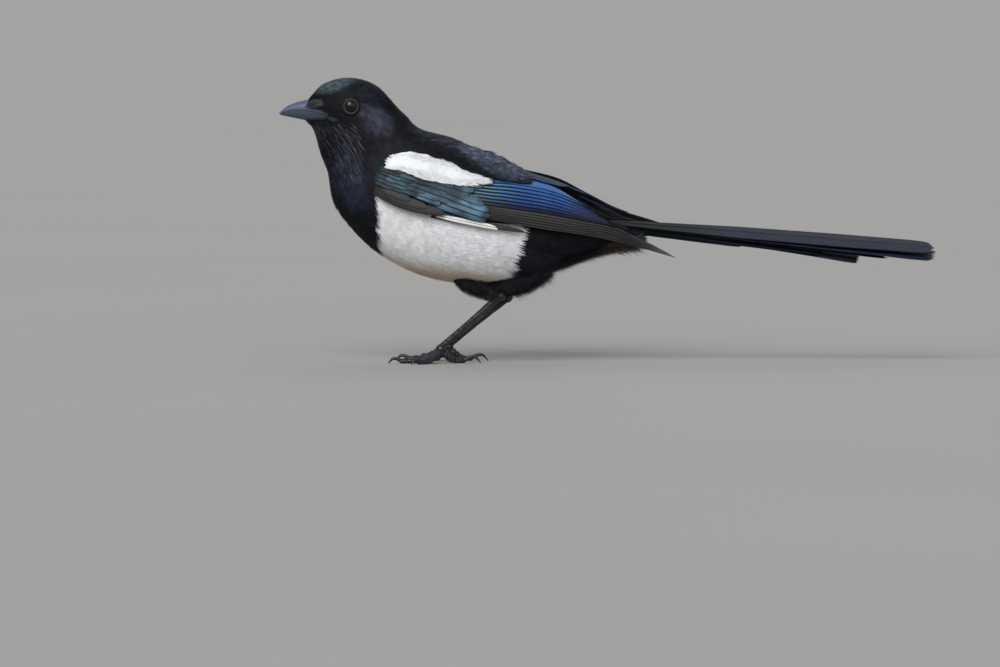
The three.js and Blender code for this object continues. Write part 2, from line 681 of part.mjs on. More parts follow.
const trunk = leftOf(rightOf(body, COLLAR), TAIL_EDGE);
const under = rightOf(trunk, FLANK);
const behindBreast = rightOf(under, BREAST_EDGE);
const scapulars = scapularForm().subtract(bodyCutter);
const scapularCutter = scapularForm(GAP);
const mantle = wasm.Manifold.union(mantleVanes()).subtract(scapularCutter);
const mantleCutter = wasm.Manifold.union(mantleVanes(GAP));
add("back", "black", fuse([leftOf(trunk, FLANK), mantle, mirrored(mantle)]));
add("breast", "black", leftOf(under, BREAST_EDGE));
add("belly", "white", leftOf(behindBreast, VENT_EDGE));
add("vent", "black", rightOf(behindBreast, VENT_EDGE));

const tailRoot = rightOf(body, TAIL_EDGE);
const rectrices = RECTRICES.flatMap((row) => [rectrix(row, -1), rectrix(row, 1)]);
add("tail", "blue", rightOf(fuse([tailRoot, tailForm(-0.3, 0.36), ...rectrices]), TAIL_EDGE));

const overWing = wasm.Manifold.union([scapularCutter, mantleCutter]);
const ridge = (grow) =>
  RIDGE_FEATHERS.map((row) => wingVane(NEAR, { ...row, thick: row.thick + 2 * grow, width: row.width + grow }));
const besideWing = wasm.Manifold.union([bodyCutter, tailForm(GAP), overWing, mirrored(overWing)]);
const ridgeCutter = mirrored(wasm.Manifold.union(ridge(GAP)));
add("wing_left", "blue", largest(wholeWing(NEAR).subtract(besideWing)).subtract(ridgeCutter));
const farWing = mirrored(fuse([wholeWing(FAR), ...ridge(0)]));
add("wing_right", "blue", farWing.subtract(besideWing));
add("scapulars_left", "white", scapulars);
add("scapulars_right", "white", mirrored(scapulars));

for (const [name, side] of [
  ["left", -1],
  ["right", 1],
]) {
  const shin = shank(side).subtract(wasm.Manifold.union([thigh(side, GAP), foot(side, GAP), bodyCutter]));
  add("thigh_" + name, "black", thigh(side).subtract(bodyCutter));
  add("leg_" + name, "leg", shin);
  add("foot_" + name, "leg", foot(side));
  const toes = foot(side, GAP);
  for (const row of TOES) add("claw_" + row[0] + "_" + name, "bill", claw(side, row).subtract(toes));
}

export default magpie;
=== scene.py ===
# %% [markdown]
# # A Eurasian magpie, life size
# The bird stands on both feet and looks to the left, as in a museum case.
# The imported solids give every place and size. This script gives them their coat, their feathers and their colours.
# All lengths below are in millimetres and are turned into metres when a piece is made.

import math

import bpy
import numpy as np
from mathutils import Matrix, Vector


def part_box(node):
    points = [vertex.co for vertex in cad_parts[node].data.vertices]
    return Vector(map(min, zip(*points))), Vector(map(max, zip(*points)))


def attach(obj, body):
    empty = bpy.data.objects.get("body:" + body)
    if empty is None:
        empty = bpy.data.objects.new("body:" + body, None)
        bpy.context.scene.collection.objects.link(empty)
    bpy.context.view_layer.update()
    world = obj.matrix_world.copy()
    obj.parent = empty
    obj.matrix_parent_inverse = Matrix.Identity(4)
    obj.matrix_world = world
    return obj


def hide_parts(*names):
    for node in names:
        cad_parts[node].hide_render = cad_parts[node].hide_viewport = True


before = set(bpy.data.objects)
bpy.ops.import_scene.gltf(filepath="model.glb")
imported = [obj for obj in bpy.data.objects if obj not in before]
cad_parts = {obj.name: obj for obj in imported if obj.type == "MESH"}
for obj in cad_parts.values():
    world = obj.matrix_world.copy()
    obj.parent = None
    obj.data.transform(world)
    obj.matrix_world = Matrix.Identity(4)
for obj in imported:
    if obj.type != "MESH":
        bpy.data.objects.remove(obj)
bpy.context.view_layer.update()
MM = 0.001
SIDES = (("left", False), ("right", True))

# %% [markdown]
# ## Smooth curves through a few measures
# A body is drawn from a handful of measures, as a boat is drawn from its frames.
# A curve that passes through each measure fills in the rest. The curve is the one that the solids use.


# %% Smooth curves
def curve_through(values):
    """A table of 401 smooth values through evenly spaced measures."""
    v = np.array(values, float)
    v = np.concatenate([[2 * v[0] - v[1]], v, [2 * v[-1] - v[-2]]])
    place = np.linspace(0, len(values) - 1, 401)
    i = np.minimum(place.astype(int), len(values) - 2)
    w = place - i
    before, start, end, after = v[i], v[i + 1], v[i + 2], v[i + 3]
    leave, arrive = (end - before) / 2, (after - start) / 2
    cubic = 2 * start - 2 * end + leave + arrive
    square = 3 * end - 3 * start - 2 * leave - arrive
    table = start + leave * w + square * w**2 + cubic * w**3
    return lambda share: np.interp(np.clip(share, 0, 1), np.linspace(0, 1, 401), table)


def smooth_step(low, high, x):
    t = np.clip((x - low) / (high - low), 0, 1)
    return t * t * (3 - 2 * t)


def unit(ways):
    return ways / (np.linalg.norm(ways, axis=-1, keepdims=True) + 1e-9)


print("curve check", round(float(curve_through([0, 1, 4])(0.5)), 3))

# %% [markdown]
# ## The body's surface
# On the bird this is the outer face of the plumage from the bill to the root of the tail.
# A sheet of rings gives it: each ring has a place on the back, a place on the belly and a width.
# The same sheet can be made a little smaller for the skin, so that the coat's depth lies between them.

# %% The body's surface
# Each row is x and z on the back, x and z on the belly, half the width, and how much wider the back is.
STATIONS = np.array(
    [
        [-184.8, 163.7, -187.9, 149.4, 5.6, 0.0], [-174.8, 173.3, -182.0, 143.5, 11.2, 0.1],
        [-159.3, 176.7, -177.3, 129.6, 15.6, 0.2], [-143.2, 171.7, -173.0, 117.8, 17.4, 0.16],
        [-128.3, 156.9, -169.3, 100.4, 18.6, 0.06], [-115.9, 145.7, -161.2, 86.2, 23.5, 0.0],
        [-94.2, 138.6, -143.8, 68.8, 31.5, -0.04], [-69.4, 127.1, -119.0, 55.2, 36.5, -0.08],
        [-47.7, 112.8, -91.1, 48.6, 36.5, -0.08], [-29.1, 101.7, -64.5, 48.6, 31.5, -0.05],
        [-10.5, 92.4, -34.1, 58.3, 22.0, 0.0], [5.0, 87.4, -7.4, 67.0, 14.5, 0.0],
        [20.5, 83.7, 18.0, 71.3, 8.0, 0.0],
    ]
)
BODY_CURVES = [curve_through(STATIONS[:, i]) for i in range(6)]
ROUNDNESS = 0.88


def body_point(share, angle, grow=0.0):
    """Places on the body. The angle runs from the back line over the bird's right side."""
    share, angle = np.broadcast_arrays(np.asarray(share, float), np.asarray(angle, float))
    back_x, back_z, belly_x, belly_z, half_width, fullness = [curve(share) for curve in BODY_CURVES]
    half_x, half_z = (back_x - belly_x) / 2, (back_z - belly_z) / 2
    c, s = np.cos(angle), np.sin(angle)
    stretch = c * (1 + grow / np.hypot(half_x, half_z))
    side = np.sign(s) * np.abs(s) ** ROUNDNESS * (1 + fullness * c)
    x = belly_x + half_x + half_x * stretch
    z = belly_z + half_z + half_z * stretch
    return np.stack([x, side * (half_width + grow), z], axis=-1)


def body_frame(share, angle, grow=0.0):
    """Places on the body with the way towards the tail and the way out."""
    share, angle = np.asarray(share), np.asarray(angle)
    back = body_point(share + 0.002, angle, grow) - body_point(share - 0.002, angle, grow)
    turn = body_point(share, angle + 0.01, grow) - body_point(share, angle - 0.01, grow)
    return body_point(share, angle, grow), unit(back), unit(np.cross(back, turn))


print("widest place", body_point(np.array([0.5]), math.pi / 2).round(1))

# %% [markdown]
# ## The wing's sheet
# A folded wing lies on a curved sheet. One measure runs from the wrist to the tip and one runs up over the back.
# The right wing is held a little higher towards its tip than the left one.

# %% The wing's sheet
WRIST = np.array([-142.0, 0.0, 115.9])
WING_DIP = math.radians(14.9)
DIP_COS, DIP_SIN = math.cos(WING_DIP), math.sin(WING_DIP)
WING_LENGTH = 191.6
WING_BULGE = curve_through([29.5, 36.5, 40.2, 41.8, 40.6, 36.0, 29.5, 23.0, 18.0, 14.5])
WING_CROWN = curve_through([-8, -8, -8, -7, -5, -3, -2, 0, 0, 0])
WING_RADIUS = curve_through([40, 42, 42, 39, 30.5, 27.2, 24, 20, 18, 18])
WING_LOWER = curve_through([-6, -12.6, -13.8, -13.6, -10.5, -5.2, -3.2, -1.0, -0.6, -0.5])
WING_UPPER = curve_through([10, 21, 23, 20, 22, 21.5, 15.5, 8.8, 4.8, 0.6])
KEEL = curve_through([-8, -9.5, -10.4, -8.6, -6.4, -4.6, -2.4, -1.1, -1.3, -2.2])
SEAM = curve_through([-4, -3, -1.5, 0.2, 2.6, 4.9, 6.0, 7.2, 4.4, 0.9])
RIDGE = curve_through([8, 10, 12, 14.5, 17.2, 18.4, 15.5, 9.5, 5, 1])
NEAR = curve_through([0, 0])
FAR = curve_through([0, 0, 0.3, 0.8, 1.6, 2.8, 4.2, 6.6, 9.6, 12.6])
OVER = 0.94
OVER_ANGLE = math.asin(OVER)


def wing_sheet(raised, u, v):
    u, v = np.broadcast_arrays(np.asarray(u, float), np.asarray(v, float))
    share = u / WING_LENGTH
    rise = (v - WING_CROWN(share)) / WING_RADIUS(share)
    low_angle = np.arcsin(np.clip(rise, -0.98, OVER))
    angle = np.where(rise < OVER, low_angle, OVER_ANGLE + (rise - OVER) / math.cos(OVER_ANGLE))
    height = WING_CROWN(share) + WING_RADIUS(share) * np.sin(angle) + raised(share)
    x = WRIST[0] + u * DIP_COS + height * DIP_SIN
    z = WRIST[2] - u * DIP_SIN + height * DIP_COS
    return np.stack([x, -WING_BULGE(share) * np.cos(angle), z], axis=-1)


def wing_frame(raised, u, v):
    """Places on the left wing with the way to its tip and the way out."""
    u, v = np.asarray(u), np.asarray(v)
    to_tip = wing_sheet(raised, u + 0.5, v) - wing_sheet(raised, u - 0.5, v)
    up = wing_sheet(raised, u, v + 0.5) - wing_sheet(raised, u, v - 0.5)
    return wing_sheet(raised, u, v), unit(to_tip), unit(np.cross(to_tip, up))


def wing_point(raised, u, v, lift):
    place, _, out = wing_frame(raised, u, v)
    return place + out * np.asarray(lift, float)[..., None]


print("wing tip", wing_sheet(NEAR, WING_LENGTH, 0.0).round(1))

# %% [markdown]
# ## Turning measures into meshes
# Three forms make nearly everything here: a closed tube through rings, a thin closed sheet, and a ball.
# Each one is made of few faces, is closed, and has its outside outwards.


# %% Turning measures into meshes
def mirror_y(points):
    return np.asarray(points) * np.array([1.0, -1.0, 1.0])


def sheet_faces(rows, columns):
    """The faces of a closed thin sheet whose points run top then base, row after row."""
    n = 2 * columns
    faces = []
    for i in range(0, n * (rows - 1), n):
        for a in range(i, i + n - 2, 2):
            faces += [(a, a + n, a + n + 2, a + 2), (a + 1, a + 3, a + n + 3, a + n + 1)]
        b = i + n - 2
        faces += [(i, i + 1, i + n + 1, i + n), (b + n, b + n + 1, b + 1, b)]
    end = n * (rows - 1)
    for a in range(0, n - 2, 2):
        faces += [(a + 2, a + 3, a + 1, a), (end + a, end + a + 1, end + a + 3, end + a + 2)]
    return faces


def tube(rings, uv=None):
    """Points, faces and map of a closed tube through rings that have equally many points."""
    count, sides = len(rings), len(rings[0])
    faces = []
    for i in range(0, (count - 1) * sides, sides):
        for j in range(sides):
            k = (j + 1) % sides
            faces.append((i + j, i + k, i + sides + k, i + sides + j))
    faces += [tuple(reversed(range(sides))), tuple(range((count - 1) * sides, count * sides))]
    return np.concatenate(rings), faces, np.zeros((count * sides, 2)) if uv is None else uv


def volume_of(points, faces):
    total = 0.0
    for face in faces:
        for k in range(1, len(face) - 1):
            total += np.dot(points[face[0]], np.cross(points[face[k]], points[face[k + 1]]))
    return total / 6


class Pile:
    """Collects closed forms that become one piece.
    Each point has a place on its own feather (map), a brightness (tone), the share of the strip that the next
    feather leaves free (strip) and the way in mm from the feather's outline (rim)."""

    def __init__(self):
        self.points, self.faces, self.map = [], [], []
        self.marks = {"tone": [], "strip": [], "rim": []}
        self.count = 0

    def add(self, points, faces, uv, tone=0.0, strip=2.0, rim=9.0, mirror=False):
        points = np.asarray(points, float).reshape(-1, 3)
        if mirror:
            points = mirror_y(points)
        if volume_of(points, faces) < 0:
            faces = [tuple(reversed(face)) for face in faces]
        self.faces.extend(tuple(i + self.count for i in face) for face in faces)
        self.points.append(points)
        self.map.append(np.asarray(uv, float).reshape(-1, 2))
        for label, value in (("tone", tone), ("strip", strip), ("rim", rim)):
            self.marks[label].append(np.broadcast_to(np.asarray(value, float).ravel(), len(points)))
        self.count += len(points)

    def piece(self, name, material, slot, nodes=()):
        mesh = bpy.data.meshes.new(name)
        mesh.from_pydata([tuple(p) for p in np.concatenate(self.points) * MM], [], self.faces)
        set_map(mesh, "vane", np.concatenate(self.map))
        for label, values in self.marks.items():
            set_mark(mesh, label, np.concatenate(values))
        return finish_piece(mesh, name, material, nodes)


def set_map(mesh, name, at_point):
    corners = np.empty(len(mesh.loops), dtype=np.int32)
    mesh.loops.foreach_get("vertex_index", corners)
    layer = mesh.uv_layers.new(name=name)
    layer.data.foreach_set("uv", at_point[corners].astype(np.float32).ravel())


def set_mark(mesh, name, values, kind="FLOAT", field="value"):
    mesh.attributes.new(name, kind, "POINT").data.foreach_set(field, np.asarray(values, np.float32).ravel())


def finish_piece(mesh, name, material, nodes=(), smooth=True):
    mesh.materials.clear()
    mesh.materials.append(material)
    mesh.polygons.foreach_set("use_smooth", np.full(len(mesh.polygons), smooth))
    mesh.update()
    piece = bpy.data.objects.new(name, mesh)
    bpy.context.scene.collection.objects.link(piece)
    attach(piece, "root")
    if nodes:
        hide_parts(*nodes)
    print(name, sum(len(p.vertices) - 2 for p in mesh.polygons), "triangles")
    return piece


def make(name, forms, material, slot, nodes=(), mirror=False):
    """One piece from a list of closed forms."""
    pile = Pile()
    for form in forms:
        pile.add(*form, mirror=mirror)
    return pile.piece(name, material, slot, nodes)


print("forms ready")

# %% [markdown]
# ## Camera
# A long lens far away sees the bird from its left side, a little from above, so hardly anything is foreshortened.
# One pixel of the 1000 x 667 frame is 0.62 mm at the bird. The camera stays above the floor.

# %% Camera
PIXEL = 0.62
AIM = Vector((-66.3, 0.0, 17.7)) * MM
CAMERA_WAY = 5.0
CAMERA_RISE = math.radians(3)

lens_data = bpy.data.cameras.new("camera")
lens_data.sensor_width = 36
lens_data.lens = 36 * CAMERA_WAY / (1000 * PIXEL * MM)
lens_data.clip_end = 100
camera = bpy.data.objects.new("camera", lens_data)
bpy.context.scene.collection.objects.link(camera)
looking = Vector((0, math.cos(CAMERA_RISE), -math.sin(CAMERA_RISE)))
camera.location = AIM - looking * CAMERA_WAY
camera.rotation_euler = looking.to_track_quat("-Z", "Y").to_euler()
bpy.context.scene.camera = camera
print("lens", round(lens_data.lens, 1), "mm, camera height", round(camera.location.z, 3), "m")

# %% [markdown]
# ## A bench for materials
# A material is a small tree of nodes. A helper adds each node and joins it, so that a recipe reads in a few lines.
# Effects that several materials share are groups, built once and placed with their own values.


# %% A bench for materials
class Recipe:
    """Adds nodes to a tree and joins them."""

    def __init__(self, tree):
        self.tree = tree

    def put(self, value, socket):
        if isinstance(value, bpy.types.NodeSocket):
            self.tree.links.new(value, socket)
        else:
            socket.default_value = value

    def add(self, kind, inputs=None, **settings):
        node = self.tree.nodes.new(kind)
        for name, value in settings.items():
            setattr(node, name, value)
        for name, value in (inputs or {}).items():
            self.put(value, node.inputs[name])
        return node

    def sum(self, operation, *values):
        return self.add("ShaderNodeMath", dict(enumerate(values)), operation=operation).outputs[0]

    def times(self, first, second):
        return self.sum("MULTIPLY", first, second)

    def line(self, value, slope, start):
        """slope x value + start"""
        return self.sum("MULTIPLY_ADD", value, slope, start)

    def step(self, value, low, high):
        node = self.add("ShaderNodeMapRange", {0: value, 1: low, 2: high}, interpolation_type="SMOOTHSTEP")
        return node.outputs[0]

    def blend(self, share, first, second):
        return self.add("ShaderNodeMix", {0: share, 6: first, 7: second}, data_type="RGBA").outputs[2]

    def lit(self, colour, level):
        """The colour times a brightness."""
        grey = self.add("ShaderNodeCombineColor", {0: level, 1: level, 2: level}).outputs[0]
        inputs = {0: 1.0, 6: colour, 7: grey}
        return self.add("ShaderNodeMix", inputs, data_type="RGBA", blend_type="MULTIPLY").outputs[2]

    def noise(self, place, scale, detail=2.0, stretch=None):
        if stretch:
            place = self.add("ShaderNodeMapping", {"Vector": place, "Scale": stretch}).outputs[0]
        return self.add("ShaderNodeTexNoise", {"Vector": place, "Scale": scale, "Detail": detail}).outputs[0]

    def split(self, place):
        return self.add("ShaderNodeSeparateXYZ", {0: place}).outputs

    def here(self):
        return self.add("ShaderNodeTexCoord").outputs["Object"]

    def mark(self, name, output="Fac"):
        return self.add("ShaderNodeAttribute", attribute_name=name).outputs[output]

    def group(self, tree, inputs):
        node = self.add("ShaderNodeGroup")
        node.node_tree = tree
        for name, value in inputs.items():
            self.put(value, node.inputs[name])
        return node.outputs


def new_group(name, inputs, outputs):
    """An empty shader group. Inputs and outputs are pairs of a name and a kind of socket."""
    tree = bpy.data.node_groups.new(name, "ShaderNodeTree")
    for way, sockets in (("INPUT", inputs), ("OUTPUT", outputs)):
        for label, kind in sockets:
            tree.interface.new_socket(label, in_out=way, socket_type="NodeSocket" + kind)
    recipe = Recipe(tree)
    return tree, recipe, recipe.add("NodeGroupInput").outputs, recipe.add("NodeGroupOutput").inputs


def new_material(name, roughness=0.5, **plain):
    """A material with its Principled shader, and the recipe to feed it."""
    material = bpy.data.materials.new(name)
    material.use_nodes = True
    material.node_tree.nodes.clear()
    recipe = Recipe(material.node_tree)
    shader = recipe.add("ShaderNodeBsdfPrincipled", {"Roughness": roughness})
    for label, value in plain.items():
        shader.inputs[label.replace("_", " ")].default_value = value
    output = recipe.add("ShaderNodeOutputMaterial")
    material.node_tree.links.new(shader.outputs[0], output.inputs[0])
    return material, recipe, shader.inputs


def bump(recipe, sockets, height, distance, strength):
    node = recipe.add("ShaderNodeBump", {"Height": height, "Distance": distance, "Strength": strength})
    recipe.put(node.outputs[0], sockets["Normal"])


def soften(recipe, sockets, share):
    """Turns each strand's own normal towards that of the skin below it, so that a smooth coat takes light smoothly."""
    own = recipe.add("ShaderNodeNewGeometry").outputs["Normal"]
    weight = recipe.add("ShaderNodeCombineXYZ", {0: share, 1: share, 2: share}).outputs[0]
    inputs = {0: recipe.mark("lie", "Vector"), 1: weight, 2: own}
    both = recipe.add("ShaderNodeVectorMath", inputs, operation="MULTIPLY_ADD").outputs[0]
    recipe.put(recipe.add("ShaderNodeVectorMath", {0: both}, operation="NORMALIZE").outputs[0], sockets["Normal"])


def plain_finish(name, first, second, scale, roughness, shine, bumpy=None, soft=None):
    """Two colours mixed by a strand's own tone, or by fine noise where a scale is given."""
    material, recipe, sockets = new_material(name, roughness, Specular_IOR_Level=shine)
    share = recipe.noise(recipe.here(), *scale) if scale else recipe.mark("tone")
    recipe.put(recipe.blend(share, first, second), sockets["Base Color"])
    if bumpy:
        bump(recipe, sockets, share, 0.0002, bumpy)
    if soft:
        soften(recipe, sockets, soft)
    return material


print("bench ready")

# %% [markdown]
# ## The bird's markings and painted sheen
# A magpie is black with a white belly, and the black has a faint blue, green or purple gloss by region, which is
# painted into the colour as painted sheen. The markings and the painted sheen are painted by place, in side view, with
# soft ragged borders as loose barbs make them.
# The skin reads its own place. A tuft of the coat reads the place of its root, so that both agree.

# %% The bird's markings and painted sheen
markings_and_sheen, paint, given, result = new_group(
    "bird_markings_and_sheen", [("Place", "Vector")], [("Colour", "Color"), ("White", "Float")]
)
ragged_wide = paint.noise(given["Place"], 90.0, 2.0)
wander = paint.line(paint.noise(given["Place"], 420.0, 3.0), 0.007, -0.0035)
wander = paint.sum("ADD", wander, paint.line(ragged_wide, 0.006, -0.003))
place_x, _, place_z = paint.split(given["Place"])


def beyond_line(x1, z1, x2, z2, soft, drift=0.0):
    """1 on the left of a line in the side view, 0 on its right, with a soft edge. The measures are in mm."""
    length = math.hypot(x2 - x1, z2 - z1)
    nx, nz = (z1 - z2) / length, (x2 - x1) / length
    far = paint.line(place_z, nz, paint.line(place_x, nx, -(x1 * nx + z1 * nz) * MM))
    return paint.step(paint.sum("ADD", far, drift), -soft * MM, soft * MM)


def near_spot(x, z, reach_x, reach_z, lean=0.0):
    """1 in the middle of an oval in the side view, falling to 0 at its rim. The measures are in mm."""
    c, s = math.cos(math.radians(lean)), math.sin(math.radians(lean))
    parts = []
    for cos, sin, reach in ((c, s, reach_x * MM), (-s, c, reach_z * MM)):
        far = paint.line(place_z, sin / reach, paint.line(place_x, cos / reach, -(x * cos + z * sin) * MM / reach))
        parts.append(paint.times(far, far))
    return paint.step(paint.sum("ADD", *parts), 1.0, 0.0)


white = paint.sum("MAXIMUM", beyond_line(-99, 51.0, -74, 51.5, 0.6, wander), beyond_line(-97, 40, -97, 60, 1.2, wander))
for border in (
    (-144.5, 110, -142.5, 40, 0.5, wander),
    (-47.7, 84.0, -165.0, 115.0, 0.8),
    (-66.0, 55, -56.5, 82, 0.8, wander),
    (-76, 45.0, -63, 60.0, 0.8, wander),
):
    white = paint.times(white, beyond_line(*border))

grain = paint.step(paint.noise(given["Place"], 600.0, 2.0), 0.3, 0.7)
coat_colour_and_sheen = paint.blend(paint.times(grain, 0.5), (0.0030, 0.0032, 0.0046, 1), (0.011, 0.012, 0.018, 1))
# Nape, crown, ear, face, breast, mantle, rear mantle, vent, the bare corner of the mouth and the tail's under coverts.
# The nape, crown, ear, breast, mantle and rear mantle ovals are painted sheen, and the vent oval is painted streak
# highlights.
for *oval, share, colour in (
    (-151, 171, 15, 8, -35, 0.8, (0.013, 0.014, 0.021, 1)),
    (-170.5, 174.0, 20, 7.5, 22, 0.95, (0.066, 0.098, 0.110, 1)),
    (-145.0, 152.3, 13.5, 10.5, -40, 0.85, (0.042, 0.045, 0.070, 1)),
    (-164, 157, 15, 12, 0, 0.7, (0.0022, 0.0022, 0.0030, 1)),
    (-160, 116, 12, 26, 15, 0.7, (0.016, 0.020, 0.040, 1)),
    (-92, 141, 46, 14, -22, 0.75, (0.034, 0.037, 0.058, 1)),
    (-72, 126, 34, 10, -27, 0.85, (0.070, 0.086, 0.125, 1)),
    (-45, 62, 22, 10, -25, 0.7, (0.012, 0.012, 0.016, 1)),
    (-169.6, 151.2, 4.2, 2.0, -12, 1.0, (0.034, 0.040, 0.058, 1)),
    (10, 71, 24, 6.5, 8, 0.9, (0.085, 0.072, 0.060, 1)),
):
    coat_colour_and_sheen = paint.blend(paint.times(near_spot(*oval), share), coat_colour_and_sheen, colour)
# The lower belly turns darker and tan: partly the feathers' own tint, partly painted shade and painted warm light
# reflected from the ground.
clean_white, tan_and_shade_white = (0.90, 0.91, 0.93, 1), (0.76, 0.60, 0.38, 1)
white_colour = paint.blend(beyond_line(-70, 54, -140, 67, 6.5), clean_white, tan_and_shade_white)
white_colour = paint.blend(paint.times(ragged_wide, 0.25), white_colour, (0.84, 0.84, 0.85, 1))
paint.put(paint.blend(white, coat_colour_and_sheen, white_colour), result["Colour"])
paint.put(white, result["White"])
print("markings_and_sheen", len(markings_and_sheen.nodes), "nodes")

# %% [markdown]
# ## The plumage's own finish
# Body feathers are matt and soft. Their barbs break the light into fine streaks along the feather.
# The coat's colour comes from the markings and their painted sheen, and each tuft has its own brightness.


# %% The plumage's finish
def plumage(name, from_root):
    material, recipe, sockets = new_material(name, 0.6, Specular_IOR_Level=0.12)
    place = recipe.mark("root", "Vector") if from_root else recipe.here()
    tone = recipe.mark("tone") if from_root else 0.3
    marks = recipe.group(markings_and_sheen, {"Place": place})
    dark_light = recipe.line(recipe.sum("POWER", tone, 2.5), 1.7, 0.75)
    white_light = recipe.line(tone, 0.26, 0.80)
    light = recipe.add("ShaderNodeMix", {0: marks["White"], 2: dark_light, 3: white_light}).outputs[0]
    recipe.put(recipe.lit(marks["Colour"], light), sockets["Base Color"])
    recipe.put(recipe.line(marks["White"], 0.2, 0.5), sockets["Roughness"])
    if from_root:
        soften(recipe, sockets, 1.4)
    else:
        bump(recipe, sockets, recipe.noise(place, 1500.0, 2.0), 0.0001, 0.3)
    return material


skin_finish = plumage("skin_plumage", False)
coat_finish = plumage("coat_plumage", True)
print("plumage finishes made")

# %% [markdown]
# ## Skin
# One closed skin runs from the bill to the root of the tail, so no seam shows between neck, breast and belly.
# It lies a little inside the solids, by the depth of the coat that grows on it.

# %% Skin
COAT_DEPTH = 1.2
BARE_BILL = np.array(
    [(-200, 145), (-200, 166), (-185.4, 163.9), (-186.2, 158.4), (-177.1, 156.9), (-172.3, 153.4), (-172.3, 151.4),
     (-176.1, 149.0), (-188.9, 149.4), (-190, 145)]
)
GAPE = np.array([(-174, 154.2), (-166.6, 152.2), (-165.6, 150.6), (-171.5, 148.3), (-175, 148.6)])


def inside_outline(points, outline):
    """True for places inside a closed outline in the side view."""
    x, z = points[..., 0], points[..., 2]
    inside = np.zeros(np.shape(x), bool)
    for (x1, z1), (x2, z2) in zip(outline, np.roll(outline, -1, axis=0)):
        if z1 != z2:
            inside ^= ((z1 > z) != (z2 > z)) & (x < (x2 - x1) * (z - z1) / (z2 - z1) + x1)
    return inside


def body_skin(depth, rings=97, sides=64):
    shares = np.linspace(0, 1, rings)
    angles = np.linspace(0, 2 * math.pi, sides, endpoint=False)[None, :]
    points = body_point(shares[:, None], angles, -depth)
    ends = []
    for row, scale, shift in ((points[0], 0.6, -1.0), (points[-1], 0.5, 1.2)):
        centre = row.mean(axis=0)
        ends.append((row - centre) * scale + centre + np.array([shift, 0, 0]))
    points = np.concatenate([ends[0][None], points, ends[1][None]])
    bare = inside_outline(points, BARE_BILL)
    points[..., 1] = np.where(bare, np.clip(points[..., 1], -2.0, 2.0), points[..., 1])
    share = np.concatenate([[0], shares, [1]])[:, None]
    return tube(points, np.stack(np.broadcast_arrays(share, angles / (2 * math.pi)), axis=-1))


FLESH = ("head", "neck", "back", "breast", "belly", "vent")
make("body_skin", [body_skin(COAT_DEPTH)], skin_finish, "black_plumage", FLESH)

# %% [markdown]
# ## A tuft of the coat
# A small body feather is a soft shaft with loose barbs, so it reads as a fan of fine strands.
# Each kind has two tufts, each a fan of thin closed blades. They lie along +X, rise and then bend back to the skin.


# %% A tuft of the coat
def tuft(name, blades, spread, width, arch, curl, seed):
    """A fan of closed three-sided blades, one unit long, with a map of the fan in the unit square."""
    chance = np.random.default_rng(seed)
    points, faces, patch = [], [], []
    for k in range(blades):
        a = (k / (blades - 1) * 2 - 1) if blades > 1 else 0
        lean = math.radians(spread) * a + chance.normal(0, 0.04)
        reach = 1 - 0.16 * a * a - chance.uniform(0, 0.14)
        lift = 1 + chance.normal(0, 0.15)
        start = len(points)
        for t, w in ((0.0, 0.75), (0.5, 1.0), (1.0, 0.0)):
            x = t * reach * math.cos(lean)
            y = t * reach * math.sin(lean) + a * width * 0.8
            z = (arch * t - curl * t * t) * lift
            half = width * w / 2
            corners = [(x, y - half, z), (x, y + half, z), (x, y, z + half * 0.28)] if w else [(x, y, z)]
            points += corners
            patch += [(t, 0.5 + a * 0.4, 0)] * len(corners)
        for j in range(3):
            i = (j + 1) % 3
            faces.append((start + j, start + i, start + 3 + i, start + 3 + j))
            faces.append((start + 3 + j, start + 3 + i, start + 6))
        faces.append((start + 2, start + 1, start))
    points = np.array(points)
    if volume_of(points, faces) < 0:
        faces = [tuple(reversed(face)) for face in faces]
    mesh = bpy.data.meshes.new(name)
    mesh.from_pydata([tuple(p) for p in points], [], faces)
    set_mark(mesh, "patch", patch, "FLOAT_VECTOR", "vector")
    mesh.update()
    return bpy.data.objects.new(name, mesh)


TUFTS = {}
for name, first, second in (
    ("silk", (7, 8, 0.042, 0.14, 0.06, 11), (7, 11, 0.038, 0.16, 0.06, 12)),
    ("smooth", (6, 12, 0.055, 0.17, 0.08, 13), (6, 16, 0.05, 0.19, 0.09, 14)),
    ("fluff", (6, 30, 0.035, 0.55, 0.25, 19), (6, 38, 0.032, 0.62, 0.22, 20)),
    ("strand", (1, 0, 0.024, 0.22, 0.14, 17), (1, 0, 0.020, 0.30, 0.16, 18)),
    ("bristle", (1, 0, 0.055, 0.26, 0.16, 21), (1, 0, 0.045, 0.34, 0.18, 22)),
):
    TUFTS[name] = (tuft(f"tuft_{name}_a", *first), tuft(f"tuft_{name}_b", *second))
print("tufts", list(TUFTS))

# %% [markdown]
# ## Growing the coat
# Tufts repeat thousands of times, so Geometry Nodes place them: one tuft on each root, turned by its own frame.
# A fixed seed gives each tuft a little swirl and a slightly different length.
# The result becomes a plain mesh. Each tuft also gets a small patch on a map that unrolls the skin.


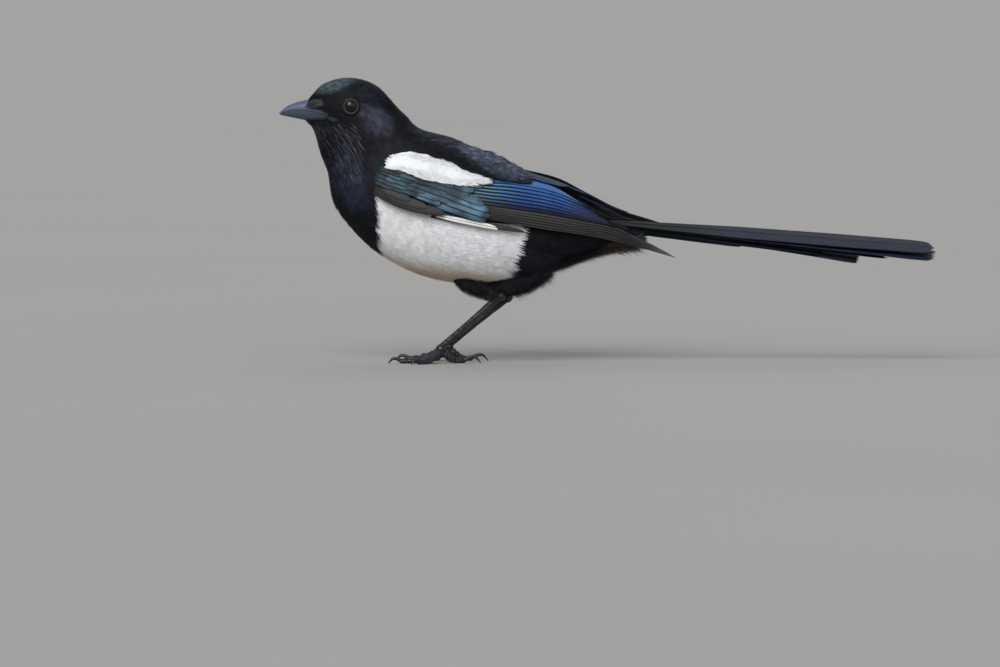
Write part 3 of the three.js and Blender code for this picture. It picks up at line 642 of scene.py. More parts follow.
# %% Growing the coat
def coat_tree():
    tree = bpy.data.node_groups.new("grow_coat", "GeometryNodeTree")
    sockets = {}
    for label, kind in (
        ("Roots", "Geometry"), ("First tuft", "Object"), ("Second tuft", "Object"), ("Length", "Float"),
        ("Swirl", "Float"), ("Seed", "Int"), ("Finish", "Material"),
    ):
        sockets[label] = tree.interface.new_socket(label, in_out="INPUT", socket_type="NodeSocket" + kind).identifier
    tree.interface.new_socket("Coat", in_out="OUTPUT", socket_type="NodeSocketGeometry")
    r = Recipe(tree)
    given = r.add("NodeGroupInput").outputs
    tufts = r.add("GeometryNodeJoinGeometry")
    for label in ("First tuft", "Second tuft"):
        info = r.add("GeometryNodeObjectInfo", {"Object": given[label], "As Instance": True})
        r.put(info.outputs["Geometry"], tufts.inputs[0])

    def chance(low, high, kind="FLOAT", first=2):
        inputs = {first: low, first + 1: high, "Seed": given["Seed"]}
        return r.add("FunctionNodeRandomValue", inputs, data_type=kind).outputs[first // 2]

    turn = r.add("GeometryNodeInputNamedAttribute", {"Name": "turn"}, data_type="FLOAT_VECTOR").outputs[0]
    reach = r.add("GeometryNodeInputNamedAttribute", {"Name": "reach"}, data_type="FLOAT").outputs[0]
    grown = r.add(
        "GeometryNodeInstanceOnPoints",
        {
            "Points": given["Roots"],
            "Instance": tufts.outputs[0],
            "Pick Instance": True,
            "Instance Index": chance(0, 1, "INT", 4),
            "Rotation": r.add("FunctionNodeEulerToRotation", {0: turn}).outputs[0],
            "Scale": r.times(r.times(reach, given["Length"]), chance(0.8, 1.15)),
        },
    )
    swirl = chance(r.times(given["Swirl"], -1.0), given["Swirl"])
    about = r.add("ShaderNodeCombineXYZ", {2: swirl}).outputs[0]
    turned = r.add(
        "GeometryNodeRotateInstances", {"Instances": grown.outputs[0], "Rotation": about, "Local Space": True}
    )
    real = r.add("GeometryNodeRealizeInstances", {0: turned.outputs[0]})
    dressed = r.add("GeometryNodeSetMaterial", {"Geometry": real.outputs[0], "Material": given["Finish"]})
    r.put(dressed.outputs[0], r.add("NodeGroupOutput").inputs["Coat"])
    return tree, sockets


GROW, GROW_SOCKETS = coat_tree()
PATCH = 0.003


def frames_to_euler(forward, out):
    """Euler turns that lay +X along forward and +Z outwards."""
    out = unit(out)
    forward = unit(forward - out * np.sum(forward * out, axis=1, keepdims=True))
    side = np.cross(out, forward)
    about_x = np.arctan2(side[:, 2], out[:, 2])
    about_y = -np.arcsin(np.clip(forward[:, 2], -1, 1))
    return np.stack([about_x, about_y, np.arctan2(forward[:, 1], forward[:, 0])], axis=1)


def grow_coat(name, roots, kind, length, swirl, seed, finish=coat_finish, slot="black_plumage", nodes=()):
    """Roots hold place, forward, out, reach, tone and map. Lengths are in mm."""
    count = len(roots["place"])
    mesh = bpy.data.meshes.new(name + "_roots")
    mesh.vertices.add(count)
    mesh.vertices.foreach_set("co", (roots["place"] * MM).astype(np.float32).ravel())
    for label, values in (
        ("turn", frames_to_euler(roots["forward"], roots["out"])),
        ("root", roots["place"] * MM),
        ("lie", roots["out"]),
        ("unrolled", np.concatenate([roots["map"], np.zeros((count, 1))], axis=1)),
    ):
        set_mark(mesh, label, values, "FLOAT_VECTOR", "vector")
    for label in ("reach", "tone"):
        set_mark(mesh, label, roots[label])
    holder = bpy.data.objects.new(name + "_roots", mesh)
    bpy.context.scene.collection.objects.link(holder)
    grower = holder.modifiers.new("grow", "NODES")
    grower.node_group = GROW
    for label, value in (
        ("First tuft", TUFTS[kind][0]), ("Second tuft", TUFTS[kind][1]), ("Length", length * MM), ("Swirl", swirl),
        ("Seed", seed), ("Finish", finish),
    ):
        grower[GROW_SOCKETS[label]] = value
    seen = holder.evaluated_get(bpy.context.evaluated_depsgraph_get())
    coat = bpy.data.meshes.new_from_object(seen, depsgraph=bpy.context.evaluated_depsgraph_get())
    coat.name = name
    holder.modifiers.clear()
    bpy.data.objects.remove(holder)
    fit_patch_map(coat)
    return finish_piece(coat, name, finish, nodes, smooth=False)


def fit_patch_map(coat):
    """Gives each tuft its own small patch at the place of its root on the unrolled skin."""
    values = {}
    for label in ("unrolled", "patch"):
        flat = np.empty(len(coat.vertices) * 3, np.float32)
        coat.attributes[label].data.foreach_get("vector", flat)
        values[label] = flat.reshape(-1, 3)[:, :2]
    set_map(coat, "OFBake", np.clip(values["unrolled"] + (values["patch"] - 0.5) * PATCH, 0.001, 0.999))
    for label in ("unrolled", "patch", "turn", "reach"):
        if label in coat.attributes:
            coat.attributes.remove(coat.attributes[label])


def grow_pair(name, roots, *how, **more):
    """One coat on the left half and one on the right half."""
    for label, on_side in (("left", roots["place"][:, 1] < 0), ("right", roots["place"][:, 1] >= 0)):
        grow_coat(f"{name}_{label}", keep(roots, on_side), *how, **more)


print("coat tree", len(GROW.nodes), "nodes")

# %% [markdown]
# ## Roots on the body
# Roots stand in staggered rings from the bill to the tail, closer together on the head, where feathers are small.
# Where the folded wing lies on the body, no coat grows.


# %% Roots on the body
def under_wing(place):
    """True where the wing covers the body well inside its own outline."""
    dx, dz = place[:, 0] - WRIST[0], place[:, 2] - WRIST[2]
    u, height = dx * DIP_COS - dz * DIP_SIN, dx * DIP_SIN + dz * DIP_COS
    share = np.clip(u / WING_LENGTH, 0, 1)
    inside = (height > WING_LOWER(share) + 4.5) & (height < WING_UPPER(share) - 5)
    return (u > 9) & (u < 150) & inside & (np.abs(place[:, 1]) > 6)


def keep(roots, mask):
    return {label: values[mask] for label, values in roots.items()}


def body_roots(first, last, spacing, depth, seed, bare_wing=False):
    """Staggered roots between two shares of the body, about one spacing apart."""
    chance = np.random.default_rng(seed)
    round_body = np.linspace(0, 2 * math.pi, 49)
    shares, angles = [], []
    share, row = first, 0
    while share < last:
        ring = body_point(share, round_body, -depth)
        ahead = body_point(share + 0.002, round_body, -depth)
        girth = np.linalg.norm(np.diff(ring, axis=0), axis=1).sum()
        speed = np.linalg.norm(ahead - ring, axis=1) / 0.002
        gap = spacing(share) if callable(spacing) else spacing
        count = max(8, int(girth / gap))
        angle = (np.arange(count) + 0.5 * (row % 2)) / count * 2 * math.pi
        here = np.interp(angle, round_body, speed)
        kept = chance.random(count) < here / speed.max()
        jitter = chance.normal(0, 0.16, (2, count))
        shares.append((share + jitter[0] * gap / here)[kept])
        angles.append((angle + jitter[1] * 2 * math.pi / count)[kept])
        share += gap * 0.86 / speed.max()
        row += 1
    shares = np.clip(np.concatenate(shares), 0.001, 0.999)
    angles = np.concatenate(angles)
    place, back, out = body_frame(shares, angles, -depth)
    roots = {"place": place, "forward": back, "out": out, "share": shares, "angle": angles, "low": -np.cos(angles)}
    roots["map"] = np.stack([shares, np.mod(angles / (2 * math.pi), 1.0)], axis=1)
    roots["tone"] = chance.random(len(shares))
    roots["reach"] = np.ones(len(shares))
    return keep(roots, ~under_wing(place)) if bare_wing else roots


print("roots on a breast", len(body_roots(0.335, 0.56, 1.75, COAT_DEPTH, 22)["place"]))

# %% [markdown]
# ## The coat, region by region
# The head has short dense feathers and the throat long thin ones. The breast is smooth and the belly is soft.
# The rear is fluffy, and its strands hang down and back over the legs.

# %% The coat, region by region
EYE_X, EYE_Z = -158.4, 159.0


def head_spacing(share):
    return 1.05 + 0.65 * smooth_step(0.12, 0.34, share)


head = body_roots(0.0, 0.335, head_spacing, COAT_DEPTH * 0.8, 21)
spot = head["place"]
clear = (np.hypot(spot[:, 0] - EYE_X, spot[:, 2] - EYE_Z) > 6.2) | (np.abs(spot[:, 1]) < 6)
head = keep(head, clear & ~inside_outline(spot, BARE_BILL) & ~inside_outline(spot, GAPE))
throat = smooth_step(0.45, 0.8, head["low"]) * smooth_step(0.05, 0.15, head["share"])
head["reach"] = 0.42 + 0.58 * smooth_step(0.05, 0.33, head["share"]) + 0.35 * throat
grow_coat("coat_head", keep(head, head["share"] < 0.2), "smooth", 7.0, 0.15, 5)
grow_coat("coat_neck", keep(head, head["share"] >= 0.2), "smooth", 7.0, 0.15, 4)
grow_pair("coat_breast", body_roots(0.335, 0.56, 1.75, COAT_DEPTH, 22, True), "smooth", 8.5, 0.12, 6)

trunk = body_roots(0.56, 0.86, 1.66, COAT_DEPTH, 23, True)
hang = smooth_step(-100, -45, trunk["place"][:, 0]) * smooth_step(-0.2, 0.7, trunk["low"])
trunk["forward"] += hang[:, None] * np.array([0.1, 0, -0.75])
trunk["reach"] = 1 + 0.45 * hang * trunk["tone"] ** 2
above = trunk["low"] < -0.2
grow_coat("coat_back", keep(trunk, above), "smooth", 9.0, 0.12, 7)
grow_pair("coat_belly", keep(trunk, ~above), "silk", 9.5, 0.06, 8, slot="white_plumage")

rear = body_roots(0.80, 0.998, 1.6, COAT_DEPTH, 24, True)
rear_hang = smooth_step(-30, -62, rear["place"][:, 0]) * smooth_step(-0.1, 0.6, rear["low"])
rear["forward"] += rear_hang[:, None] * np.array([0.0, 0, -0.8])
under_tail = smooth_step(0.5, 0.95, rear["low"])
rear["reach"] = 1 + 0.25 * rear_hang + 0.5 * under_tail * rear["tone"] ** 3
loose = under_tail > np.random.default_rng(27).random(len(under_tail)) * 1.2
grow_coat("coat_rear", keep(rear, ~loose), "smooth", 8.5, 0.2, 9)
grow_coat("coat_vent", keep(rear, loose), "fluff", 9.0, 0.35, 16)

# %% [markdown]
# ## Painted highlights on the throat shafts, and bristles over the nostrils
# The long throat feathers have stiff, shining shafts. Their shine is painted into the colour, as fine pale lines of
# painted highlight.
# Short stiff bristles start in front of the eye and lie forwards over the nostrils, as one oval tuft on each side.

# %% Shafts and bristles
# Painted highlight: a few strands, by their tone, turn pale grey where the shafts shine.
shaft_highlight = plain_finish("shaft_highlight", (0.006, 0.006, 0.009, 1), (0.180, 0.180, 0.200, 1), None, 0.35, 0.4)
bristle_dark = plain_finish("bristle_dark", (0.004, 0.004, 0.005, 1), (0.090, 0.090, 0.100, 1), None, 0.4, 0.4)
shafts = body_roots(0.07, 0.36, 1.5, COAT_DEPTH * 0.5, 25)
shaft_x, _, shaft_z = shafts["place"].T
shafts = keep(shafts, (shafts["low"] > -0.3) & (shaft_z < 149) & (shaft_z > 112) & (shaft_x < -152))
shafts["reach"] = 0.7 + 0.5 * shafts["tone"]
shafts["tone"] = shafts["tone"] ** 4
grow_coat("throat_shafts", shafts, "strand", 5.5, 0.18, 13, shaft_highlight)

nasal = body_roots(0.0, 0.15, 0.75, 0.2, 26)
NOSTRIL_X, NOSTRIL_Z = -179.4, 160.6
from_nostril = np.hypot((nasal["place"][:, 0] - NOSTRIL_X) / 5.0, (nasal["place"][:, 2] - NOSTRIL_Z) / 2.9)
nasal = keep(nasal, from_nostril < 1)
fan = np.array([0, 0, -0.1]) * (nasal["place"][:, 2:] - 159.8)
nasal["forward"] = -nasal["forward"] + fan - [0, 0, 0.1]
nasal["tone"] = nasal["tone"] ** 3
grow_coat("nasal_bristles", nasal, "bristle", 4.6, 0.15, 14, bristle_dark)

# %% [markdown]
# ## Barbs
# A vane is made of hundreds of thin barbs that leave the shaft at an angle. Seen close they are fine slanting lines.
# One group gives these lines from a feather's own map, which holds the way along it and the way across it.

# %% Barbs
MAP_SCALE = 250.0

barbs, cut_lines, barb_in, barb_out = new_group(
    "barbs", [("Spacing", "Float"), ("Lean", "Float")], [("Height", "Float"), ("Along", "Float"), ("Across", "Float")]
)
vane_map = cut_lines.add("ShaderNodeUVMap", uv_map="vane").outputs[0]
map_u, map_v, _ = cut_lines.split(vane_map)
along_mm, across_mm = cut_lines.times(map_u, MAP_SCALE), cut_lines.times(map_v, MAP_SCALE)
slant = cut_lines.sum("SUBTRACT", along_mm, cut_lines.times(across_mm, barb_in["Lean"]))
slant = cut_lines.line(cut_lines.noise(vane_map, 160.0, 2.0), 0.5, slant)
wave = cut_lines.sum("SINE", cut_lines.times(cut_lines.sum("DIVIDE", slant, barb_in["Spacing"]), 2 * math.pi))
for value, label in ((cut_lines.line(wave, 0.5, 0.5), "Height"), (along_mm, "Along"), (across_mm, "Across")):
    cut_lines.put(value, barb_out[label])
print("barb group ready")

# %% [markdown]
# ## Feather finishes
# The blue of a magpie is no dye. Layers in the barbs mirror blue or green light, so the colour shines like thin metal.
# The colour changes across each visible strip, from a dark edge over blue to a green line beside the shaft, and turns
# dark again where the next feather lies over it. The dark edge and that dark band are painted shadow.


# %% Feather finishes
def feather(name, base, gloss, edge=None, rim=0.6, strips=(), fade=None, metal=0.0, roughness=0.5, shine=0.25,
            shaft=None, dim=(0.45, 0.7), lines_depth=0.2, under=None, splits=False):
    """Base and gloss mix in broad patches. Edge colours the outline, out to rim mm. Strips are colours across the free
    strip, with the share at which each one starts and the way along it in mm where it ends. Fade is a colour near
    the tip. Under is the colour of the lower side."""
    material, recipe, sockets = new_material(name, roughness, Metallic=metal, Specular_IOR_Level=shine)
    lines = recipe.group(barbs, {"Spacing": 0.8, "Lean": 1.4})
    place = recipe.here()
    patches = recipe.step(recipe.noise(place, 70.0, 2.0), 0.35, 0.65)
    colour = recipe.blend(recipe.times(patches, 0.8), base, gloss)
    if strips:
        drift = recipe.line(recipe.noise(place, 160.0, 2.0), 0.16, -0.08)
        strip = recipe.sum("ADD", recipe.mark("strip"), drift)
    for start, strip_colour, until in strips:
        inside = recipe.step(strip, start - 0.05, start + 0.06)
        inside = recipe.times(inside, recipe.step(lines["Along"], until + 14, until - 14))
        colour = recipe.blend(inside, colour, strip_colour)
    if fade:
        colour = recipe.blend(recipe.step(lines["Along"], fade[1], fade[2]), colour, fade[0])
    if shaft:
        near = recipe.times(recipe.step(lines["Across"], shaft - 0.4, shaft), 0.8)
        near = recipe.times(near, recipe.step(lines["Across"], shaft + 0.4, shaft))
        colour = recipe.blend(near, colour, (0.004, 0.004, 0.005, 1))
    if edge:
        drift = recipe.line(recipe.noise(place, 300.0, 2.0), 0.5, -0.25)
        outline = recipe.sum("ADD", recipe.mark("rim"), drift)
        colour = recipe.blend(recipe.step(outline, rim, rim * 0.3), colour, edge)
    if splits:
        tear = recipe.group(barbs, {"Spacing": 31.0, "Lean": 3.2})["Height"]
        colour = recipe.blend(recipe.step(tear, 0.988, 0.997), colour, (0.003, 0.003, 0.003, 1))
    if under:
        way = recipe.split(recipe.add("ShaderNodeNewGeometry").outputs["Normal"])[2]
        colour = recipe.blend(recipe.step(way, 0.1, -0.1), colour, under)
    level = recipe.line(recipe.mark("tone"), dim[1], dim[0])
    level = recipe.times(level, recipe.line(lines["Height"], lines_depth, 1 - lines_depth / 2))
    recipe.put(recipe.lit(colour, level), sockets["Base Color"])
    bump(recipe, sockets, lines["Height"], 0.0001, 0.35)
    return material


WHOLE = 900
# The darkest strip, next to the feather that lies over it, is painted shadow.
slate_feather = feather(
    "primary_slate", (0.165, 0.152, 0.144, 1), (0.140, 0.130, 0.124, 1), fade=((0.270, 0.260, 0.250, 1), 110, 170),
    strips=((0.16, (0.050, 0.048, 0.048, 1), WHOLE), (0.55, (0.006, 0.006, 0.007, 1), WHOLE)), dim=(0.75, 0.4),
    lines_depth=0.12, shine=0.2,
)
# The dark core finish is also painted shade: on the far wing's lowest vane and in the mouth line.
core_and_shade_dark = feather("wing_core_and_shade_dark", (0.008, 0.008, 0.009, 1), (0.012, 0.012, 0.013, 1), shine=0.1)
# The dark outline and the dark last strip, where the next feather lies over this one, are painted shadow.
blue_feather = feather(
    "secondary_blue", (0.020, 0.085, 0.360, 1), (0.030, 0.130, 0.360, 1),
    strips=(
        (0.36, (0.135, 0.270, 0.060, 1), 34), (0.58, (0.020, 0.085, 0.330, 1), 60),
        (0.72, (0.006, 0.010, 0.022, 1), WHOLE),
    ),
    edge=(0.004, 0.004, 0.006, 1), rim=0.22, fade=((0.030, 0.045, 0.080, 1), 58, 92), metal=0.35, roughness=0.42,
    shine=0.4, dim=(0.10, 1.1),
)
bright_feather = feather(
    "inner_blue", (0.030, 0.120, 0.480, 1), (0.045, 0.190, 0.420, 1), edge=(0.010, 0.020, 0.060, 1), rim=0.35,
    fade=((0.040, 0.075, 0.150, 1), 50, 80), metal=0.3, roughness=0.42, shine=0.4, dim=(0.6, 0.4),
)
tertial_feather = feather(
    "tertial_dark", (0.024, 0.027, 0.042, 1), (0.014, 0.030, 0.038, 1), edge=(0.034, 0.085, 0.200, 1), rim=0.9,
    metal=0.1, dim=(0.7, 0.5), shine=0.15,
)
# The teal patches on the dark slate coverts are painted sheen.
teal_feather = feather(
    "covert_teal", (0.020, 0.030, 0.046, 1), (0.088, 0.180, 0.250, 1), edge=(0.026, 0.036, 0.048, 1), rim=0.8,
    metal=0.2, dim=(0.16, 1.35), lines_depth=0.45,
)
brown_feather = feather(
    "thumb_brown", (0.036, 0.033, 0.032, 1), (0.026, 0.025, 0.026, 1), edge=(0.060, 0.054, 0.050, 1), rim=0.5,
    dim=(0.7, 0.4),
)
white_feather = feather(
    "white_vane", (0.80, 0.79, 0.76, 1), (0.74, 0.73, 0.70, 1), shaft=1.6, dim=(0.9, 0.1), lines_depth=0.1,
)
dark_feather = feather(
    "mantle_black", (0.005, 0.005, 0.008, 1), (0.012, 0.013, 0.020, 1), shine=0.15, roughness=0.6, dim=(0.6, 0.5),
)
tail_feather = feather(
    "tail_gloss", (0.013, 0.019, 0.042, 1), (0.024, 0.027, 0.046, 1), edge=(0.008, 0.007, 0.007, 1), rim=0.5,
    fade=((0.005, 0.012, 0.014, 1), 90, 50), metal=0.1, roughness=0.5, shine=0.08, shaft=11.8, dim=(0.6, 0.6),
    under=(0.014, 0.011, 0.009, 1), splits=True,
)
print("ten feather finishes made")

# %% [markdown]
# ## A feather on the wing
# Each flight feather is one closed thin vane that follows the wing's sheet. Its lower edge shows and its upper part
# dives under the next feather. It is arched a little across, has a raised shaft and ends in a rounded tip.

# %% A feather on the wing
LONG_TIP = ((0, 0.7), (0.38, 1), (0.76, 0.93), (0.9, 0.7), (0.96, 0.45), (1, 0.1))
ROUND_TIP = ((0, 0.6), (0.4, 1), (0.76, 0.97), (0.9, 0.78), (0.96, 0.55), (1, 0.2))
FULL_TIP = ((0, 0.7), (0.4, 1), (0.85, 1), (0.96, 0.9), (1, 0.5))


def outline_at(t, outline):
    return np.interp(t, *np.array(outline).T)


def wing_vane(pile, raised, mirror, start, end, edge, width, lift, dive, thick=0.32, sink=2.2, tip=LONG_TIP, rows=22,
              columns=7, shaft=0.2, tone=0.5, arch=0.18, seen=None, limit=None, rim_above=False):
    t = 1 - (1 - np.linspace(0, 1, rows)) ** 1.35
    a = np.linspace(0, 1, columns)
    fill = outline_at(t, tip)
    u = start + (end - start) * t
    low = np.array([edge(value) for value in u])
    room = np.full(rows, float(width))
    if limit:
        room = np.clip(np.array([limit(value) for value in u]) - low, 0.5, width)
    across = shaft + (a[None, :] - shaft) * fill[:, None]
    way_over = room[:, None] * across
    v = low[:, None] + way_over
    root = np.maximum(0, 1 - t / 0.3)
    height = (lift - sink * root)[:, None] - dive * across + arch * np.sin(math.pi * a)[None, :] * fill[:, None]
    height += 0.16 * np.exp(-(((a[None, :] - shaft) / 0.09) ** 2))
    body = np.minimum(np.sin(math.pi * a) ** 0.5 + 0.3, 1)[None, :] * np.minimum(1, (1 - t)[:, None] * 12 + 0.35)
    both = [wing_point(raised, u[:, None] + 0 * v, v, height + way * thick / 2 * body) for way in (1, -1)]
    length = abs(end - start)
    free = np.array([seen(value) for value in u])[:, None] if seen else width * 0.5
    side_way = room[:, None] * (shaft + (1 - shaft) * fill[:, None]) - way_over if rim_above else way_over
    rim = np.minimum(side_way, (1 - t[:, None]) * length)
    add_vane(pile, both, (t * length)[:, None], way_over, tone, rim, way_over / free, mirror)


def add_vane(pile, both, along, across, tone, rim, strip=2.0, mirror=False):
    """Adds a sheet of top and base points. Along and across are its map in mm."""
    rows, columns = across.shape
    uv = np.stack(np.broadcast_arrays(along, across), axis=-1) / MAP_SCALE
    strip = np.broadcast_to(strip, across.shape)
    pile.add(np.stack(both, axis=2), sheet_faces(rows, columns), np.repeat(uv[:, :, None, :], 2, axis=2), tone,
             np.repeat(strip, 2), np.repeat(rim, 2), mirror)


def between(low, high, share):
    return lambda u: (1 - share) * low(u / WING_LENGTH) + share * high(u / WING_LENGTH)


def gap(low, high, count):
    return lambda u: max((high(u / WING_LENGTH) - low(u / WING_LENGTH)) / count, 0.3)


def straight(v, at, slope):
    """An edge that passes v where u is at, and rises by slope."""
    return lambda u: v + (u - at) * slope


print("vane of 22 by 7 points has", 2 * len(sheet_faces(22, 7)), "triangles")

# %% [markdown]
# ## Both folded wings
# Long dark primaries lie lowest, then the blue secondaries, then the broad innermost feathers.
# Rounded greater coverts hide their roots, and rows of small teal coverts cover the front of the wing.
# The thumb feathers lie along the lower front edge, over a sliver of white from the outer primaries.

# %% Both folded wings
# Each row: its layer, its feathers as lower edge and end, their width and length, and the range of their brightness.
COVERT_ROWS = (
    (0, ((-6.6, 57), (-3.2, 58), (0.2, 58.5), (3.8, 60.5), (7.8, 65), (11.6, 70)), 7.5, 34, (0.5, 0.85)),
    (1, ((-8.2, 43), (-5.6, 42), (-2.4, 44), (1.0, 45), (4.2, 49), (7.2, 55)), 6.6, 26, (0.25, 0.75)),
    (2, ((-6.4, 29), (-3.7, 32), (-1.1, 31), (1.5, 34), (3.9, 36), (6.2, 40)), 5.6, 20, (0.0, 0.45)),
    (3, ((-6.6, 20), (-4.3, 22), (-2.0, 21.5), (0.4, 23.5), (2.6, 24), (4.8, 27)), 5.0, 16, (0.0, 0.3)),
    (4, ((-6.4, 12), (-4.2, 14), (-1.9, 13.5), (0.3, 15.5), (2.5, 15), (4.6, 16)), 4.6, 13, (0.0, 0.35)),
    (5, ((-5.4, 5), (-3.2, 7), (-1.0, 6.5), (1.2, 8.0), (3.2, 7.5)), 4.2, 9, (0.0, 0.25)),
)
WING_FINISHES = {
    "core": core_and_shade_dark, "primaries": slate_feather, "secondaries": blue_feather, "bright": bright_feather,
    "white": white_feather, "coverts": teal_feather, "brown": brown_feather, "tertials": tertial_feather,
}


def strip_ring(raised, u, v, above, below):
    """A closed ring round a strip of the wing's sheet."""
    return np.concatenate([wing_point(raised, u, v, above), wing_point(raised, u, v, below)[::-1]])


def wing_core(raised, end=0.86, drop=1.6):
    """The dark closed form under the feathers."""
    depth = curve_through([6, 7, 7, 6.5, 5, 3.4, 2.6, 2.2, 1.8, 1.2])
    sections = []
    for share in np.linspace(0, end, 25):
        closing = float(np.clip((end - share) / 0.18, 0.12, 1))
        low, high = WING_LOWER(share) + drop * 2, WING_UPPER(share) - drop * 1.2
        a = np.linspace(-1, 1, 13)
        v = (low + high) / 2 + (high - low) / 2 * a * min(1, 0.5 + 8 * share) * max(closing, 0.3)
        swell = 1 - a**4
        inner = -0.6 - drop - depth(share) * swell * closing
        sections.append(strip_ring(raised, share * WING_LENGTH + 0 * v, v, swell * 0.5 - drop, inner))
    return tube(sections)


def wing(side, mirror, raised):
    chance = np.random.default_rng(31 if mirror else 30)
    piles = {label: Pile() for label in WING_FINISHES}
    piles["core"].add(*wing_core(raised), mirror=mirror)

    def lay(label, *place, **more):
        more.setdefault("tone", chance.random())
        wing_vane(piles[label], raised, mirror, *place, **more)

    def crest(u):
        return WING_UPPER(u / WING_LENGTH) + 0.3

    for i in range(6):
        lay("primaries", 52 - 1.8 * i, 190.6 - 6.0 * i, between(KEEL, SEAM, i / 6), 7.5, 0.25 + 0.05 * i, 2.3, rows=34,
            seen=gap(KEEL, SEAM, 6), limit=crest)
    for i, light in enumerate((0.02, 0.25, 0.5, 0.62, 0.7, 0.8, 0.9)):
        lay("secondaries", 44 + 1.4 * i, 158 - 1.6 * i, between(SEAM, RIDGE, i / 7), 8.0, 0.5 + 0.05 * i, 2.0, rows=30,
            seen=gap(SEAM, RIDGE, 7), limit=crest, tone=light)
    lay("bright", 56, 130, lambda u: RIDGE(u / WING_LENGTH) - 0.6, 6.0, 0.95, 1.0, tip=ROUND_TIP, limit=crest,
        shaft=0.45, columns=9, rows=26)
    lay("brown", 38, 97, straight(-15.6, 45, 0.098), 3.4, -0.45, 1.0)
    lay("white", 41, 80, straight(-14.5, 50, 0.060), 3.4, -0.05, 0.8, tip=ROUND_TIP)
    for i, (v, end, slope, light) in enumerate(
        ((-10.8, 72.0, -0.05, 0.45), (-7.9, 73.5, -0.08, 0.8), (-4.8, 72.0, -0.11, 1.0), (-1.8, 68.0, -0.13, 0.7))
    ):
        lay("coverts", 34, end, straight(v, end, slope), 6.0, 0.95 + 0.05 * i, 1.5, tip=ROUND_TIP, rows=18, columns=9,
            shaft=0.4, tone=light)
    for row, feathers, width, length, (dark, light) in COVERT_ROWS:
        for v, end in feathers:
            slope = -0.10 + chance.uniform(-0.035, 0.035)
            end += chance.uniform(-0.8, 0.8)
            bright = chance.uniform(dark, light) * (0.3 if v == feathers[-1][0] else 1)
            lay("coverts", max(end - length, -1.5), end, straight(v, end, slope), width, 0.95 + 0.13 * row, 1.2,
                tip=ROUND_TIP, rows=14, columns=9, shaft=0.46, sink=2.0, tone=bright, thick=0.2, arch=0.15)
    for v, end, width in ((-13.3, 46, 6.2), (-11.0, 35, 5.6), (-9.0, 24, 5.2)):
        lay("brown", 0.5, end, lambda u, v=v: v - 1.9 * math.sin(math.pi * min(u / 46, 1)) + 1.0 * (1 - u / 46), width,
            1.5 + (46 - end) * 0.012, 1.2, tip=ROUND_TIP, rows=18, shaft=0.35, columns=9)
    if mirror:
        for start, end, low, width, lift in ((58, 131, 19.5, 6.5, -0.2), (52, 116, 23.0, 7.5, 0.6)):
            wing_vane(piles["tertials"], NEAR, True, start, end, straight(low, start, 0.0), width, lift, -0.5,
                      tip=ROUND_TIP, rows=26, rim_above=True)
        far_low = curve_through([22, 22, 21.5, 19.5, 15.5, 12.0, 9.5, 7.5])
        # The last far vane takes the dark core finish: the far wing's feathers in painted shadow.
        for label, start, end, rise, above, lift in (
            ("tertials", 50, 134, 0, 1.4, 0.3), ("tertials", 62, 156, 1.5, 1.8, 0.6), ("core", 70, 186, -7, 1.75, -0.2),
        ):
            wing_vane(piles[label], FAR, True, start, end, lambda u, rise=rise: far_low((u - 50) / 105) + rise, 16,
                      lift, 0, tip=FULL_TIP, rows=34, columns=9, shaft=0.9, rim_above=True,
                      limit=lambda u, above=above: crest(u) + above)
    for label, pile in piles.items():
        if pile.count:
            pile.piece(f"wing_{label}_{side}", WING_FINISHES[label], "flight_feather", ("wing_" + side,))


wing("left", False, NEAR)
wing("right", True, FAR)

# %% [markdown]
# ## Mantle feathers over the wing's root
# Long black feathers of the back lie over the roots of the blue ones, in a rounded tongue on each side.

# %% Mantle feathers
SCAPULAR_LOW = curve_through([5.2, 6.8, 6.2, 5.6, 6.3, 7.0, 8.6, 12, 15.4])
SCAPULAR_HIGH = curve_through([12.6, 18.0, 19.8, 20.5, 20.3, 19.2, 17.2, 16.2, 15.8])
mantle_pile = Pile()
for _, mirror in SIDES:
    for start, end, low, slope, width in ((46, 93.5, 16.2, 0.03, 6.0), (42, 87.0, 20.4, 0.0, 6.5)):
        wing_vane(mantle_pile, NEAR, mirror, start, end, straight(low, 60, slope), width, 1.9, 0.2, sink=6,
                  tip=ROUND_TIP, rows=20, columns=9, shaft=0.5, tone=0.6)
mantle_pile.piece("mantle_feathers", dark_feather, "black_plumage", ("back",))


def wing_roots(mirror, seed, grid, inside, lift, scale, reach, aim):
    """Roots on the left wing's sheet, or mirrored. The grid is start, end and step along the wing and up over it."""
    chance = np.random.default_rng(seed)
    (u_start, u_end), (v_start, v_end), step = grid
    u, v = np.meshgrid(np.arange(u_start, u_end, step), np.arange(v_start, v_end, step))
    u = u.ravel() + chance.uniform(-0.6, 0.6, u.size)
    v = v.ravel() + chance.uniform(-0.6, 0.6, v.size)
    kept = inside(u, v)
    u, v = u[kept], v[kept]
    place, forward, out = wing_frame(NEAR, u, v)
    place = place + out * lift
    forward = forward + np.array([DIP_SIN, 0, DIP_COS]) * aim(u, v)[:, None]
    if mirror:
        place, forward, out = mirror_y(place), mirror_y(forward), mirror_y(out)
    spot = np.stack([u / scale, v / 30], axis=1)
    return {
        "place": place, "forward": forward, "out": out, "map": spot, "tone": chance.random(len(u)), "reach": reach(u),
    }


def on_tongue(u, v):
    low = np.maximum(16.4 + (u - 60) * 0.03 + 2.8 * smooth_step(72, 89, u), SCAPULAR_HIGH((u - 2) / 67) - 0.8)
    return (v > low) & (v < 29.5 - 5.5 * smooth_step(60, 89, u))


